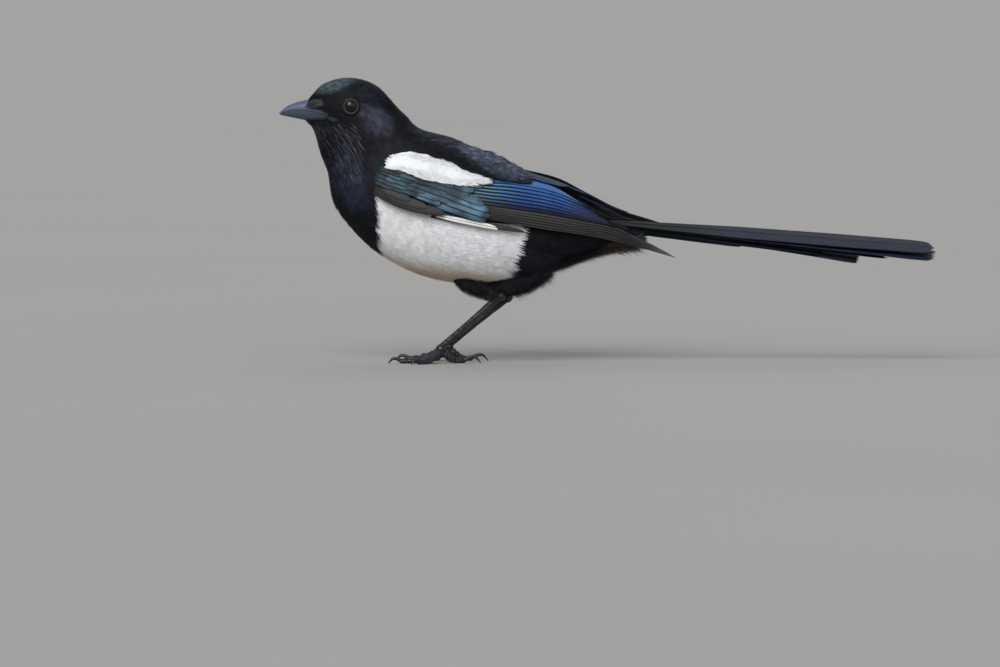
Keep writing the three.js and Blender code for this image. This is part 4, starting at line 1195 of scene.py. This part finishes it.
for side, mirror in SIDES:
    roots = wing_roots(mirror, 42, ((26, 89), (15.8, 30), 1.3), on_tongue, 2.0, 100, np.ones_like, lambda u, v: 0 * u)
    grow_coat("coat_tongue_" + side, roots, "smooth", 7.0, 0.1, 15, nodes=("back",))

# %% [markdown]
# ## White shoulder feathers
# The white patch over the shoulder is soft and almost without gloss. A closed pad carries a coat of white tufts
# that lie along the wing, with a jagged upper border where the black feathers of the back overlap it.

# %% White shoulder feathers
def shoulder_pad():
    sections = []
    for share in np.linspace(0, 1, 19):
        low, high = SCAPULAR_LOW(share) + 0.8, SCAPULAR_HIGH(share) - 0.8
        a = np.linspace(-1, 1, 11)
        v = (low + high) / 2 + max(high - low, 0.8) / 2 * a
        sections.append(strip_ring(NEAR, 4 + (67 - 4) * share + 0 * v, v, 1.3 + 0.7 * (1 - a * a), -1.2 + 0 * v))
    return tube(sections)


def on_shoulder(u, v):
    share = (u - 2) / 67
    return (v > SCAPULAR_LOW(share) + 0.5) & (v < SCAPULAR_HIGH(share) - 0.2)


def shoulder_aim(u, v):
    return -0.03 - 0.016 * (v - (SCAPULAR_LOW((u - 2) / 67) + SCAPULAR_HIGH((u - 2) / 67)) / 2)


WHITES = ((0.70, 0.72, 0.76, 1), (0.86, 0.87, 0.89, 1))
shoulder_white = plain_finish("shoulder_white", *WHITES, (500.0, 3.0), 0.7, 0.2)
shoulder_coat = plain_finish("shoulder_strands", *WHITES, None, 0.7, 0.2, soft=1.2)
for side, mirror in SIDES:
    nodes = ("scapulars_" + side,)
    make("shoulder_pad_" + side, [shoulder_pad()], shoulder_white, "white_plumage", nodes, mirror)
    roots = wing_roots(mirror, 41, ((3.0, 64), (4.5, 22.0), 1.15), on_shoulder, 1.25, 70,
                       lambda u: np.minimum(1, 0.62 + u / 60), shoulder_aim)
    grow_coat("coat_shoulder_" + side, roots, "silk", 7.5, 0.05, 10, shoulder_coat, "white_plumage", nodes)

# %% [markdown]
# ## Tail
# Twelve long feathers lie in a closed stack, the middle pair longest and on top, each pair below it shorter.
# Their ends are worn, so the tips are uneven. Every feather is one closed vane with a raised shaft.

# %% Tail
TAIL_ROOT = np.array([-9.0, 0, 85.5])
TAIL_DROP = math.radians(4.6)
TAIL_ROLL = math.radians(14.5)
TAIL_OUTLINE = ((0, 0.16), (0.16, 0.5), (0.42, 0.88), (0.72, 1), (0.93, 0.97), (0.985, 0.88), (1, 0.7))
LOW_EDGE, HIGH_EDGE = 0.42, 0.58
# Each pair: length, width, spread in degrees, way below the top, droop in degrees, and the left feather's droop.
TAIL_PAIRS = (
    (212.4, 28, 1.2, 0, 0.2, 1.05),
    (184, 23, 1.5, 0.9, 1.3, 1.3),
    (166, 21, 2.2, 1.7, 2.7, 2.7),
    (143, 19, 2.8, 2.4, 1.4, 1.4),
    (118, 18, 3.4, 3.1, 1.0, 1.0),
    (93, 17, 4.2, 3.8, 0.8, 0.8),
)


def to_tail(x, y, z):
    c, s = math.cos(TAIL_ROLL), math.sin(TAIL_ROLL)
    y, z = y * c - z * s, y * s + z * c
    c, s = math.cos(TAIL_DROP), math.sin(TAIL_DROP)
    return np.stack([x * c + z * s, y, -x * s + z * c], axis=-1) + TAIL_ROOT


def tail_vane(pile, side, length, width, spread, under, droop, left_droop, tone, worn):
    t = (1 - (1 - np.linspace(0, 1, 46)) ** 1.3)[:, None]
    a = np.linspace(-LOW_EDGE, HIGH_EDGE, 21)
    fill = outline_at(t, TAIL_OUTLINE)
    reach = t * length * (1 + worn.uniform(-0.016, 0.004, 21)[None, :] * smooth_step(0.9, 1, t))
    across = -a[None, :] * fill * width * side
    turn, fall = math.radians(spread) * side, math.radians(left_droop if side < 0 else droop)
    ridge = 0.45 * np.exp(-((a / 0.07) ** 2))[None, :] * np.minimum(1, (1 - t) * 6)
    swell = np.sin(math.pi * (a + LOW_EDGE))
    bow = 0.25 * swell[None, :] * fill
    z = 2.4 - under - (0.5 if side < 0 else 0) - reach * math.sin(fall) * t + ridge + bow
    thick = 0.34 * np.minimum(1, (1 - t) * 8 + 0.5) * np.minimum(swell**0.5 + 0.35, 1)
    x = reach * math.cos(turn) - across * math.sin(turn)
    y = reach * math.sin(turn) + across * math.cos(turn)
    both = [to_tail(x, y, z + way * thick / 2) for way in (1, -1)]
    from_edge = np.minimum((a + LOW_EDGE)[None, :], (HIGH_EDGE - a)[None, :]) * fill * width
    rim = np.minimum(from_edge, (1 - t) * length + 0.3)
    add_vane(pile, both, reach, (a[None, :] + LOW_EDGE) * fill * width, tone, rim)


tail_pile = Pile()
wear = np.random.default_rng(51)
for pair in TAIL_PAIRS:
    for side in (-1, 1):
        tail_vane(tail_pile, side, *pair, wear.random(), wear)
tail_pile.piece("tail_feathers", tail_feather, "flight_feather", ("tail",))

# %% [markdown]
# ## Bill
# The bill is smooth dark horn with a soft slate shine. Each half is one closed form between the mouth line and its
# ridge. The upper half is arched and ends in a small hook over the lower one.

# %% Bill
BILL_BASE, BILL_TIP = -171.7, -203.4
CULMEN = curve_through([158.5, 161.3, 162.9, 162.3, 160.9, 158.6, 154.4])
MOUTH = curve_through([152.8, 154.0, 155.4, 156.3, 156.3, 155.6, 153.9])
GONYS = curve_through([148.6, 148.8, 149.3, 150.1, 151.2, 152.3, 153.4])
BILL_WIDTH = curve_through([6.9, 6.4, 5.7, 4.7, 3.5, 2.1, 0.45])


def bill_half(side, ridge, reach, width):
    sections = []
    angle = math.pi * (0.5 - 0.5 * np.cos(np.linspace(0, math.pi, 23)))
    for share in np.linspace(0, reach, 37):
        x = BILL_BASE + (BILL_TIP - BILL_BASE) * share
        floor = MOUTH(share) + side * 0.12
        rise = side * max(side * (ridge(share) - floor), 0.3)
        half = width * BILL_WIDTH(share)
        arc = np.stack([x + 0 * angle, half * np.cos(angle), floor + rise * np.sin(angle) ** 0.8], axis=-1)
        sections.append(np.concatenate([arc, [[x, -0.94 * half, floor], [x, 0.94 * half, floor]]]))
    return tube(sections)


def mouth_seam():
    """A dark lining of painted shade that fills the gap between both halves, a little inside their sides."""
    sections = []
    for share in np.linspace(0.0, 0.955, 30):
        x, half = BILL_BASE + (BILL_TIP - BILL_BASE) * share, 0.9 * BILL_WIDTH(share)
        corners = ((-1, -1), (1, -1), (1, 1), (-1, 1))
        sections.append(np.array([[x, y * half, MOUTH(share) + z * 0.25] for y, z in corners]))
    return tube(sections)


def horn(name, colour, light, roughness):
    material, recipe, sockets = new_material(name, roughness, Specular_IOR_Level=0.35)
    place = recipe.here()
    grain_lines = recipe.noise(place, 260.0, 4.0, (0.3, 1.0, 1.6))
    scratch = recipe.noise(place, 900.0, 3.0, (0.2, 1.0, 1.0))
    recipe.put(recipe.blend(grain_lines, colour, light), sockets["Base Color"])
    recipe.put(recipe.line(scratch, 0.25, roughness - 0.1), sockets["Roughness"])
    bump(recipe, sockets, scratch, 0.0002, 0.3)
    return material


bill_horn = horn("bill_horn", (0.045, 0.062, 0.105, 1), (0.085, 0.112, 0.180, 1), 0.38)
# The lower half's horn is a darker copy of the same horn: painted shade on the half that faces down.
low_horn_shaded = horn("bill_horn_lower_shaded", (0.032, 0.041, 0.062, 1), (0.058, 0.070, 0.100, 1), 0.38)
claw_horn = horn("claw_horn", (0.012, 0.012, 0.015, 1), (0.030, 0.030, 0.035, 1), 0.28)
make("bill_upper_horn", [bill_half(1, CULMEN, 1.0, 1)], bill_horn, "horn", ("bill_upper",))
make("bill_lower_horn", [bill_half(-1, GONYS, 0.97, 0.92)], low_horn_shaded, "horn", ("bill_lower",))
make("mouth_seam", [mouth_seam()], core_and_shade_dark, "horn")

# %% [markdown]
# ## Eyes
# The eye is a dark wet ball with an almost black iris. A thin pale ring of bare skin lies round it.
# The clear front is a coat on the ball's material, which gives one sharp highlight.


# %% Eyes
def ball(centre, radius, rings=32, sides=48):
    """A ball with its poles along Y."""
    tilt = np.linspace(0.04, math.pi - 0.04, rings)[:, None]
    turn = np.linspace(0, 2 * math.pi, sides, endpoint=False)[None, :]
    points = np.stack([np.sin(tilt) * np.cos(turn), -np.cos(tilt) + 0 * turn, np.sin(tilt) * np.sin(turn)], axis=-1)
    return tube(points * radius + centre)


def ring(centre, major, minor, sides=48, around=12, flat=0.8):
    turn = np.linspace(0, 2 * math.pi, sides, endpoint=False)[:, None]
    bend = np.linspace(0, 2 * math.pi, around, endpoint=False)[None, :]
    far = major + minor * np.cos(bend)
    points = np.stack([far * np.cos(turn), -minor * flat * np.sin(bend) + 0 * turn, far * np.sin(turn)], axis=-1)
    faces = []
    for i in range(sides):
        k = (i + 1) % sides
        for j in range(around):
            m = (j + 1) % around
            faces.append((i * around + j, i * around + m, k * around + m, k * around + j))
    return points.reshape(-1, 3) + centre, faces, np.zeros((sides * around, 2))


eye_low, eye_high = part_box("eye_left")
EYE_CENTRE = np.array((eye_low + eye_high) / 2) / MM
BALL_RADIUS, EYE_OPENING = 5.3, 4.4
EYE_DEPTH = math.sqrt(BALL_RADIUS**2 - EYE_OPENING**2)


def eye_finish():
    material, recipe, sockets = new_material(
        "eye_dark", 0.2, Specular_IOR_Level=0.1, Coat_Weight=0.5, Coat_Roughness=0.03
    )
    place = recipe.here()
    x, _, z = recipe.split(place)
    dx = recipe.sum("SUBTRACT", x, float(EYE_CENTRE[0]) * MM)
    dz = recipe.sum("SUBTRACT", z, float(EYE_CENTRE[2]) * MM)
    far = recipe.sum("SQRT", recipe.sum("ADD", recipe.times(dx, dx), recipe.times(dz, dz)))
    brown = recipe.blend(recipe.noise(place, 1500.0, 2.0), (0.002, 0.002, 0.003, 1), (0.005, 0.004, 0.005, 1))
    colour = recipe.blend(recipe.step(far, 0.0021, 0.0025), (0.002, 0.002, 0.002, 1), brown)
    colour = recipe.blend(recipe.step(far, 0.0039, 0.0042), colour, (0.003, 0.003, 0.003, 1))
    recipe.put(colour, sockets["Base Color"])
    return material


eye_dark = eye_finish()
pale_rim = plain_finish("eye_rim", (0.085, 0.088, 0.100, 1), (0.180, 0.185, 0.205, 1), (2500.0, 2.0), 0.4, 0.25, 0.5)
lid_skin = plain_finish("lid_skin", (0.003, 0.003, 0.004, 1), (0.006, 0.006, 0.009, 1), (2500.0, 2.0), 0.4, 0.25, 0.5)
for name, mirror in SIDES:
    for label, finish, slot, nodes, form in (
        ("eye_ball_", eye_dark, "eye", ("eye_" + name,), ball(EYE_CENTRE, BALL_RADIUS)),
        ("eye_rim_", pale_rim, "eye", (), ring(EYE_CENTRE - [0, EYE_DEPTH + 0.35, 0], 4.2, 0.13)),
        ("eye_lid_", lid_skin, "black_plumage", (), ring(EYE_CENTRE - [0, EYE_DEPTH - 0.1, 0], 4.95, 0.62)),
    ):
        make(label + name, [form], finish, slot, nodes, mirror)

# %% [markdown]
# ## Legs, toes and claws
# The shank and the toes are covered by horny plates, called scutes. They are drawn as low steps along each limb.
# A limb is a tube through a few points with a radius at each. The same routes as in the solids are used.

# %% Limbs
HEEL, ANKLE, KNEE = np.array([-66.4, 0, 41.4]), np.array([-103.0, 0, 9.6]), np.array([-88.0, 0, 50.2])
LEG_WAY = ANKLE - HEEL


def on_leg(point, side, out=0.0):
    """A place on the left leg (side -1) or the right leg (side 1), which stands a little further back."""
    far = 1 if side > 0 else 0
    bend = float(np.clip((point[2] - ANKLE[2]) / LEG_WAY[2], -1.6, 0))
    return np.array([point[0] + far * 4.5, side * (14 + out), point[2] + far * 2.2 * bend])


def smooth_path(points, count):
    """Places on a smooth curve through the points, evenly in its parameter, and the way it runs."""
    points = np.asarray(points, float)
    whole = np.vstack([2 * points[0] - points[1], points, 2 * points[-1] - points[-2]])
    result = []
    for share in np.linspace(0, len(points) - 1, count):
        i = min(int(share), len(points) - 2)
        w = share - i
        p0, p1, p2, p3 = whole[i : i + 4]
        d0, d1, d2 = [max(np.linalg.norm(b - a) ** 0.5, 1e-3) for a, b in ((p0, p1), (p1, p2), (p2, p3))]
        t1 = ((p1 - p0) / d0 - (p2 - p0) / (d0 + d1) + (p2 - p1) / d1) * d1
        t2 = ((p2 - p1) / d1 - (p3 - p1) / (d1 + d2) + (p3 - p2) / d2) * d1
        result.append(p1 + t1 * w + (-3 * p1 + 3 * p2 - 2 * t1 - t2) * w * w + (2 * p1 - 2 * p2 + t1 + t2) * w**3)
    result = np.array(result)
    return result, np.gradient(result, axis=0)


def around(way):
    """The ways across and up, square to a limb's own way."""
    forward = unit(way)
    across = unit(np.cross([0, 0, 1.0], forward))
    return forward, across, np.cross(forward, across)


def limb(points, radii, rings, sides, scutes=0, step=0.05, floor=None):
    """A closed tube with low plates along its upper side and soft pads below."""
    path, way = smooth_path(points, rings)
    size = curve_through(radii)
    angle = (np.arange(sides) + 0.5) / sides * 2 * math.pi
    above, below = np.clip(np.sin(angle) + 0.4, 0, 1), np.clip(-np.sin(angle), 0, 1)
    sections = []
    for i, share in enumerate(np.linspace(0, 1, rings)):
        _, across, up = around(way[i])
        plate = (share * scutes) % 1.0 if scutes else 0.5
        r = size(share) * (1 + step * (0.5 - plate) * above + 0.5 * step * math.sin(share * scutes * 3.1) * below)
        section = path[i] + across * (r * np.cos(angle))[:, None] + up * (r * np.sin(angle))[:, None]
        if floor is not None:
            section[:, 2] = np.maximum(section[:, 2], floor)
        sections.append(section)
    plates = np.linspace(0, max(scutes, 1) / 20, rings)[:, None]
    return tube(sections, np.stack(np.broadcast_arrays(plates, np.linspace(0, 1, sides)[None, :]), axis=-1))


def limb_roots(points, radii, spacing, seed):
    """Roots all round a limb, growing towards its lower end."""
    chance = np.random.default_rng(seed)
    path, way = smooth_path(points, 41)
    size = curve_through(radii)
    rows = []
    length = np.linalg.norm(np.diff(path, axis=0), axis=1).sum()
    for row in range(int(length / spacing)):
        share = (row + 0.5) * spacing / length
        i = int(share * 40)
        along, across, up = around(way[i])
        radius = float(size(share))
        count = max(6, int(2 * math.pi * radius / spacing))
        for k in range(count):
            angle = (k + chance.uniform(0, 0.8)) / count * 2 * math.pi
            away = across * math.cos(angle) + up * math.sin(angle)
            rows.append((path[i] + away * radius, along + [0, 0, -0.25], away, (share, angle / (2 * math.pi))))
    roots = dict(zip(("place", "forward", "out", "map"), map(np.array, zip(*rows))))
    return roots | {"tone": chance.random(len(rows)), "reach": np.ones(len(rows))}


def leg_skin_finish():
    material, recipe, sockets = new_material("leg_scutes", 0.32, Specular_IOR_Level=0.55)
    place = recipe.here()
    plates = recipe.split(recipe.add("ShaderNodeUVMap", uv_map="vane").outputs[0])[0]
    plate = recipe.sum("FRACT", recipe.times(plates, 20.0))
    ridge = recipe.times(recipe.step(plate, 0.0, 0.22), recipe.step(plate, 1.0, 0.85))
    cells = recipe.add("ShaderNodeTexVoronoi", {"Vector": place, "Scale": 900.0}, feature="DISTANCE_TO_EDGE")
    grooves = recipe.times(recipe.step(cells.outputs["Distance"], 0.0, 0.12), ridge)
    dust = recipe.noise(place, 300.0, 3.0)
    colour = recipe.blend(recipe.step(dust, 0.3, 0.7), (0.006, 0.007, 0.012, 1), (0.032, 0.038, 0.058, 1))
    recipe.put(recipe.blend(grooves, (0.005, 0.005, 0.006, 1), colour), sockets["Base Color"])
    recipe.put(recipe.line(dust, 0.3, 0.18), sockets["Roughness"])
    bump(recipe, sockets, grooves, 0.0005, 0.9)
    return material


leg_skin = leg_skin_finish()
thigh_black = plain_finish("thigh_black", (0.0028, 0.0029, 0.0042, 1), (0.016, 0.016, 0.022, 1), None, 0.6, 0.12)
print("limb helpers ready")

# %% [markdown]
# ## Setting the legs under the bird
# The thigh is hidden in black fluff, so a closed limb carries a loose coat. The shank leans forward to the ankle.
# Three toes point forwards and one back, each with a curved claw whose tip rests on the floor.

# %% Setting the legs
# Each toe: name, heading in degrees, length, and its claw's length.
TOES = (("inner", -22, 19, 8.5), ("middle", 6, 25, 9.5), ("outer", 48, 20, 8.5), ("hind", 184, 15, 12.5))
TOE_LOW = 1.05
HAUNCH = ([-73, 0, 49.5], [-65, 0, 50.0], [-57, 0, 52.0], [-49, 0, 56.0], [-40, 0, 61.5])
HAUNCH_RADII = [3, 4.6, 5.0, 4.2, 2.5]
THIGH_RADII = [2.0, 4.9, 5.0, 3.3, 2.2]


def toe_point(side, heading, reach, z):
    turn = math.radians(heading) * side
    ankle = on_leg(ANKLE, side)
    return np.array([ankle[0] - reach * math.cos(turn), ankle[1] + reach * math.sin(turn), z])


for name, side in (("left", -1), ("right", 1)):
    knee, heel, ankle = on_leg(KNEE, side, 2), on_leg(HEEL, side), on_leg(ANKLE, side)
    front, middle = knee + [-6, -side * 1.5, 2.5], (knee + heel) / 2 + [0, 0, 0.6]
    haunch = [on_leg(point, side) for point in HAUNCH]
    fleshy = limb([front, knee, middle, middle * 0.45 + heel * 0.55], [2.0, 4.5, 4.6, 3.0], 30, 24)
    nodes = ("thigh_" + name,)
    make("thigh_skin_" + name, [fleshy, limb(haunch, HAUNCH_RADII, 36, 24)], thigh_black, "black_plumage", nodes)
    upper = limb_roots(haunch, HAUNCH_RADII, 1.4, 62)
    upper["forward"] = upper["forward"] * [0.5, 0.4, 0] + [0.25, 0, -0.9]
    upper["reach"] = 0.9 + 0.8 * upper["tone"] ** 2
    lower = limb_roots([front, knee, middle, heel, heel + [1.2, 0, -0.6]], THIGH_RADII, 1.4, 61)
    lower = keep(lower, lower["map"][:, 0] < 0.72)
    lower["reach"] = 1 - 0.35 * smooth_step(0.5, 0.72, lower["map"][:, 0])
    roots = {label: np.concatenate([upper[label], lower[label]]) for label in upper}
    grow_coat("coat_thigh_" + name, roots, "fluff", 5.5, 0.3, 12, thigh_black, nodes=nodes)
    make("shank_" + name, [
        limb([middle, (middle + heel) / 2, heel + [0, 0, 0.4]], [4.6, 3.3, 2.7], 30, 20, 5, 0.05),
        ball(heel + [0.4, 0, 0], 3.0, 16, 20),
        limb([on_leg(HEEL + LEG_WAY * share, side) for share in (-0.06, 0.08, 0.5, 0.9, 1.05)],
             [2.5, 2.4, 1.95, 2.1, 2.2], 90, 20, 15, 0.06),
    ], leg_skin, "leg_skin", ("leg_" + name,))
    toes = [ball(ankle - [-0.2, 0, 0.9], 3.2, 16, 20)]
    for label, heading, length, claw_length in TOES:
        heights = (ANKLE[2] - 2, 4.4, TOE_LOW + 0.9, TOE_LOW + 0.3, TOE_LOW + 0.35)
        bones = [toe_point(side, heading, length * s, z) for s, z in zip((0, 0.28, 0.55, 0.8, 1), heights)]
        toes.append(limb(bones, [2.6, 2.4, 2.0, 1.75, 1.49], 84, 18, int(length / 1.9), 0.30, 0.0))
        arc = []
        for share in (0, 0.3, 0.65, 1):
            rise = claw_length * 0.26 * math.sin(share * 2.6) - share * 1.9
            arc.append(toe_point(side, heading, length - 0.3 + claw_length * 0.82 * share, 1.75 + rise))
        arc[3][2] = 0.1
        claw = limb(arc, [1.3, 1.15, 0.85, 0.25], 28, 14, floor=0.0)
        make(f"claw_horn_{label}_{name}", [claw], claw_horn, "horn", (f"claw_{label}_{name}",))
    make("toes_" + name, toes, leg_skin, "leg_skin", ("foot_" + name,))

# %% [markdown]
# ## Floor and light
# A plain pale floor reaches behind the bird as far as the camera sees. Far soft lamps light it evenly.
# The strongest stands in front and above, and a weaker one behind adds a little gloss along the crown and the back,
# over their painted sheen.

# %% Floor and light
floor_pale, paint_floor, floor_sockets = new_material("floor_pale", 0.8)
cloud = paint_floor.noise(paint_floor.here(), 1.5, 2.0)
pale = paint_floor.blend(cloud, (0.36, 0.347, 0.330, 1), (0.385, 0.372, 0.355, 1))
paint_floor.put(pale, floor_sockets["Base Color"])
floor_mesh = bpy.data.meshes.new("floor")
floor_mesh.from_pydata([(-30, -8, 0), (30, -8, 0), (30, 60, 0), (-30, 60, 0)], [], [(0, 1, 2, 3)])
floor_mesh.materials.append(floor_pale)
floor = bpy.data.objects.new("floor", floor_mesh)
bpy.context.scene.collection.objects.link(floor)

# Each lamp: its place, the angle in degrees that it fills as a bright sky does, its strength and its colour.
for name, place, width, power, colour in (
    ("key", (-0.8, -1.8, 1.5), 45, 2.35, (1.0, 0.99, 0.97)),
    ("fill", (0.9, -2.0, 0.3), 70, 0.75, (0.93, 0.96, 1.0)),
    ("rim", (0.4, 1.5, 1.6), 50, 0.3, (0.95, 0.98, 1.0)),
):
    data = bpy.data.lights.new(name, "SUN")
    data.angle = math.radians(width)
    data.energy = power
    data.color = colour
    made = bpy.data.objects.new(name, data)
    bpy.context.scene.collection.objects.link(made)
    made.location = place
    made.rotation_euler = (-Vector(place)).to_track_quat("-Z", "Y").to_euler()

sky = bpy.data.worlds.new("studio")
sky.use_nodes = True
sky.node_tree.nodes["Background"].inputs["Color"].default_value = (0.80, 0.84, 0.90, 1)
sky.node_tree.nodes["Background"].inputs["Strength"].default_value = 0.45
bpy.context.scene.world = sky
bpy.context.scene.view_settings.view_transform = "Standard"
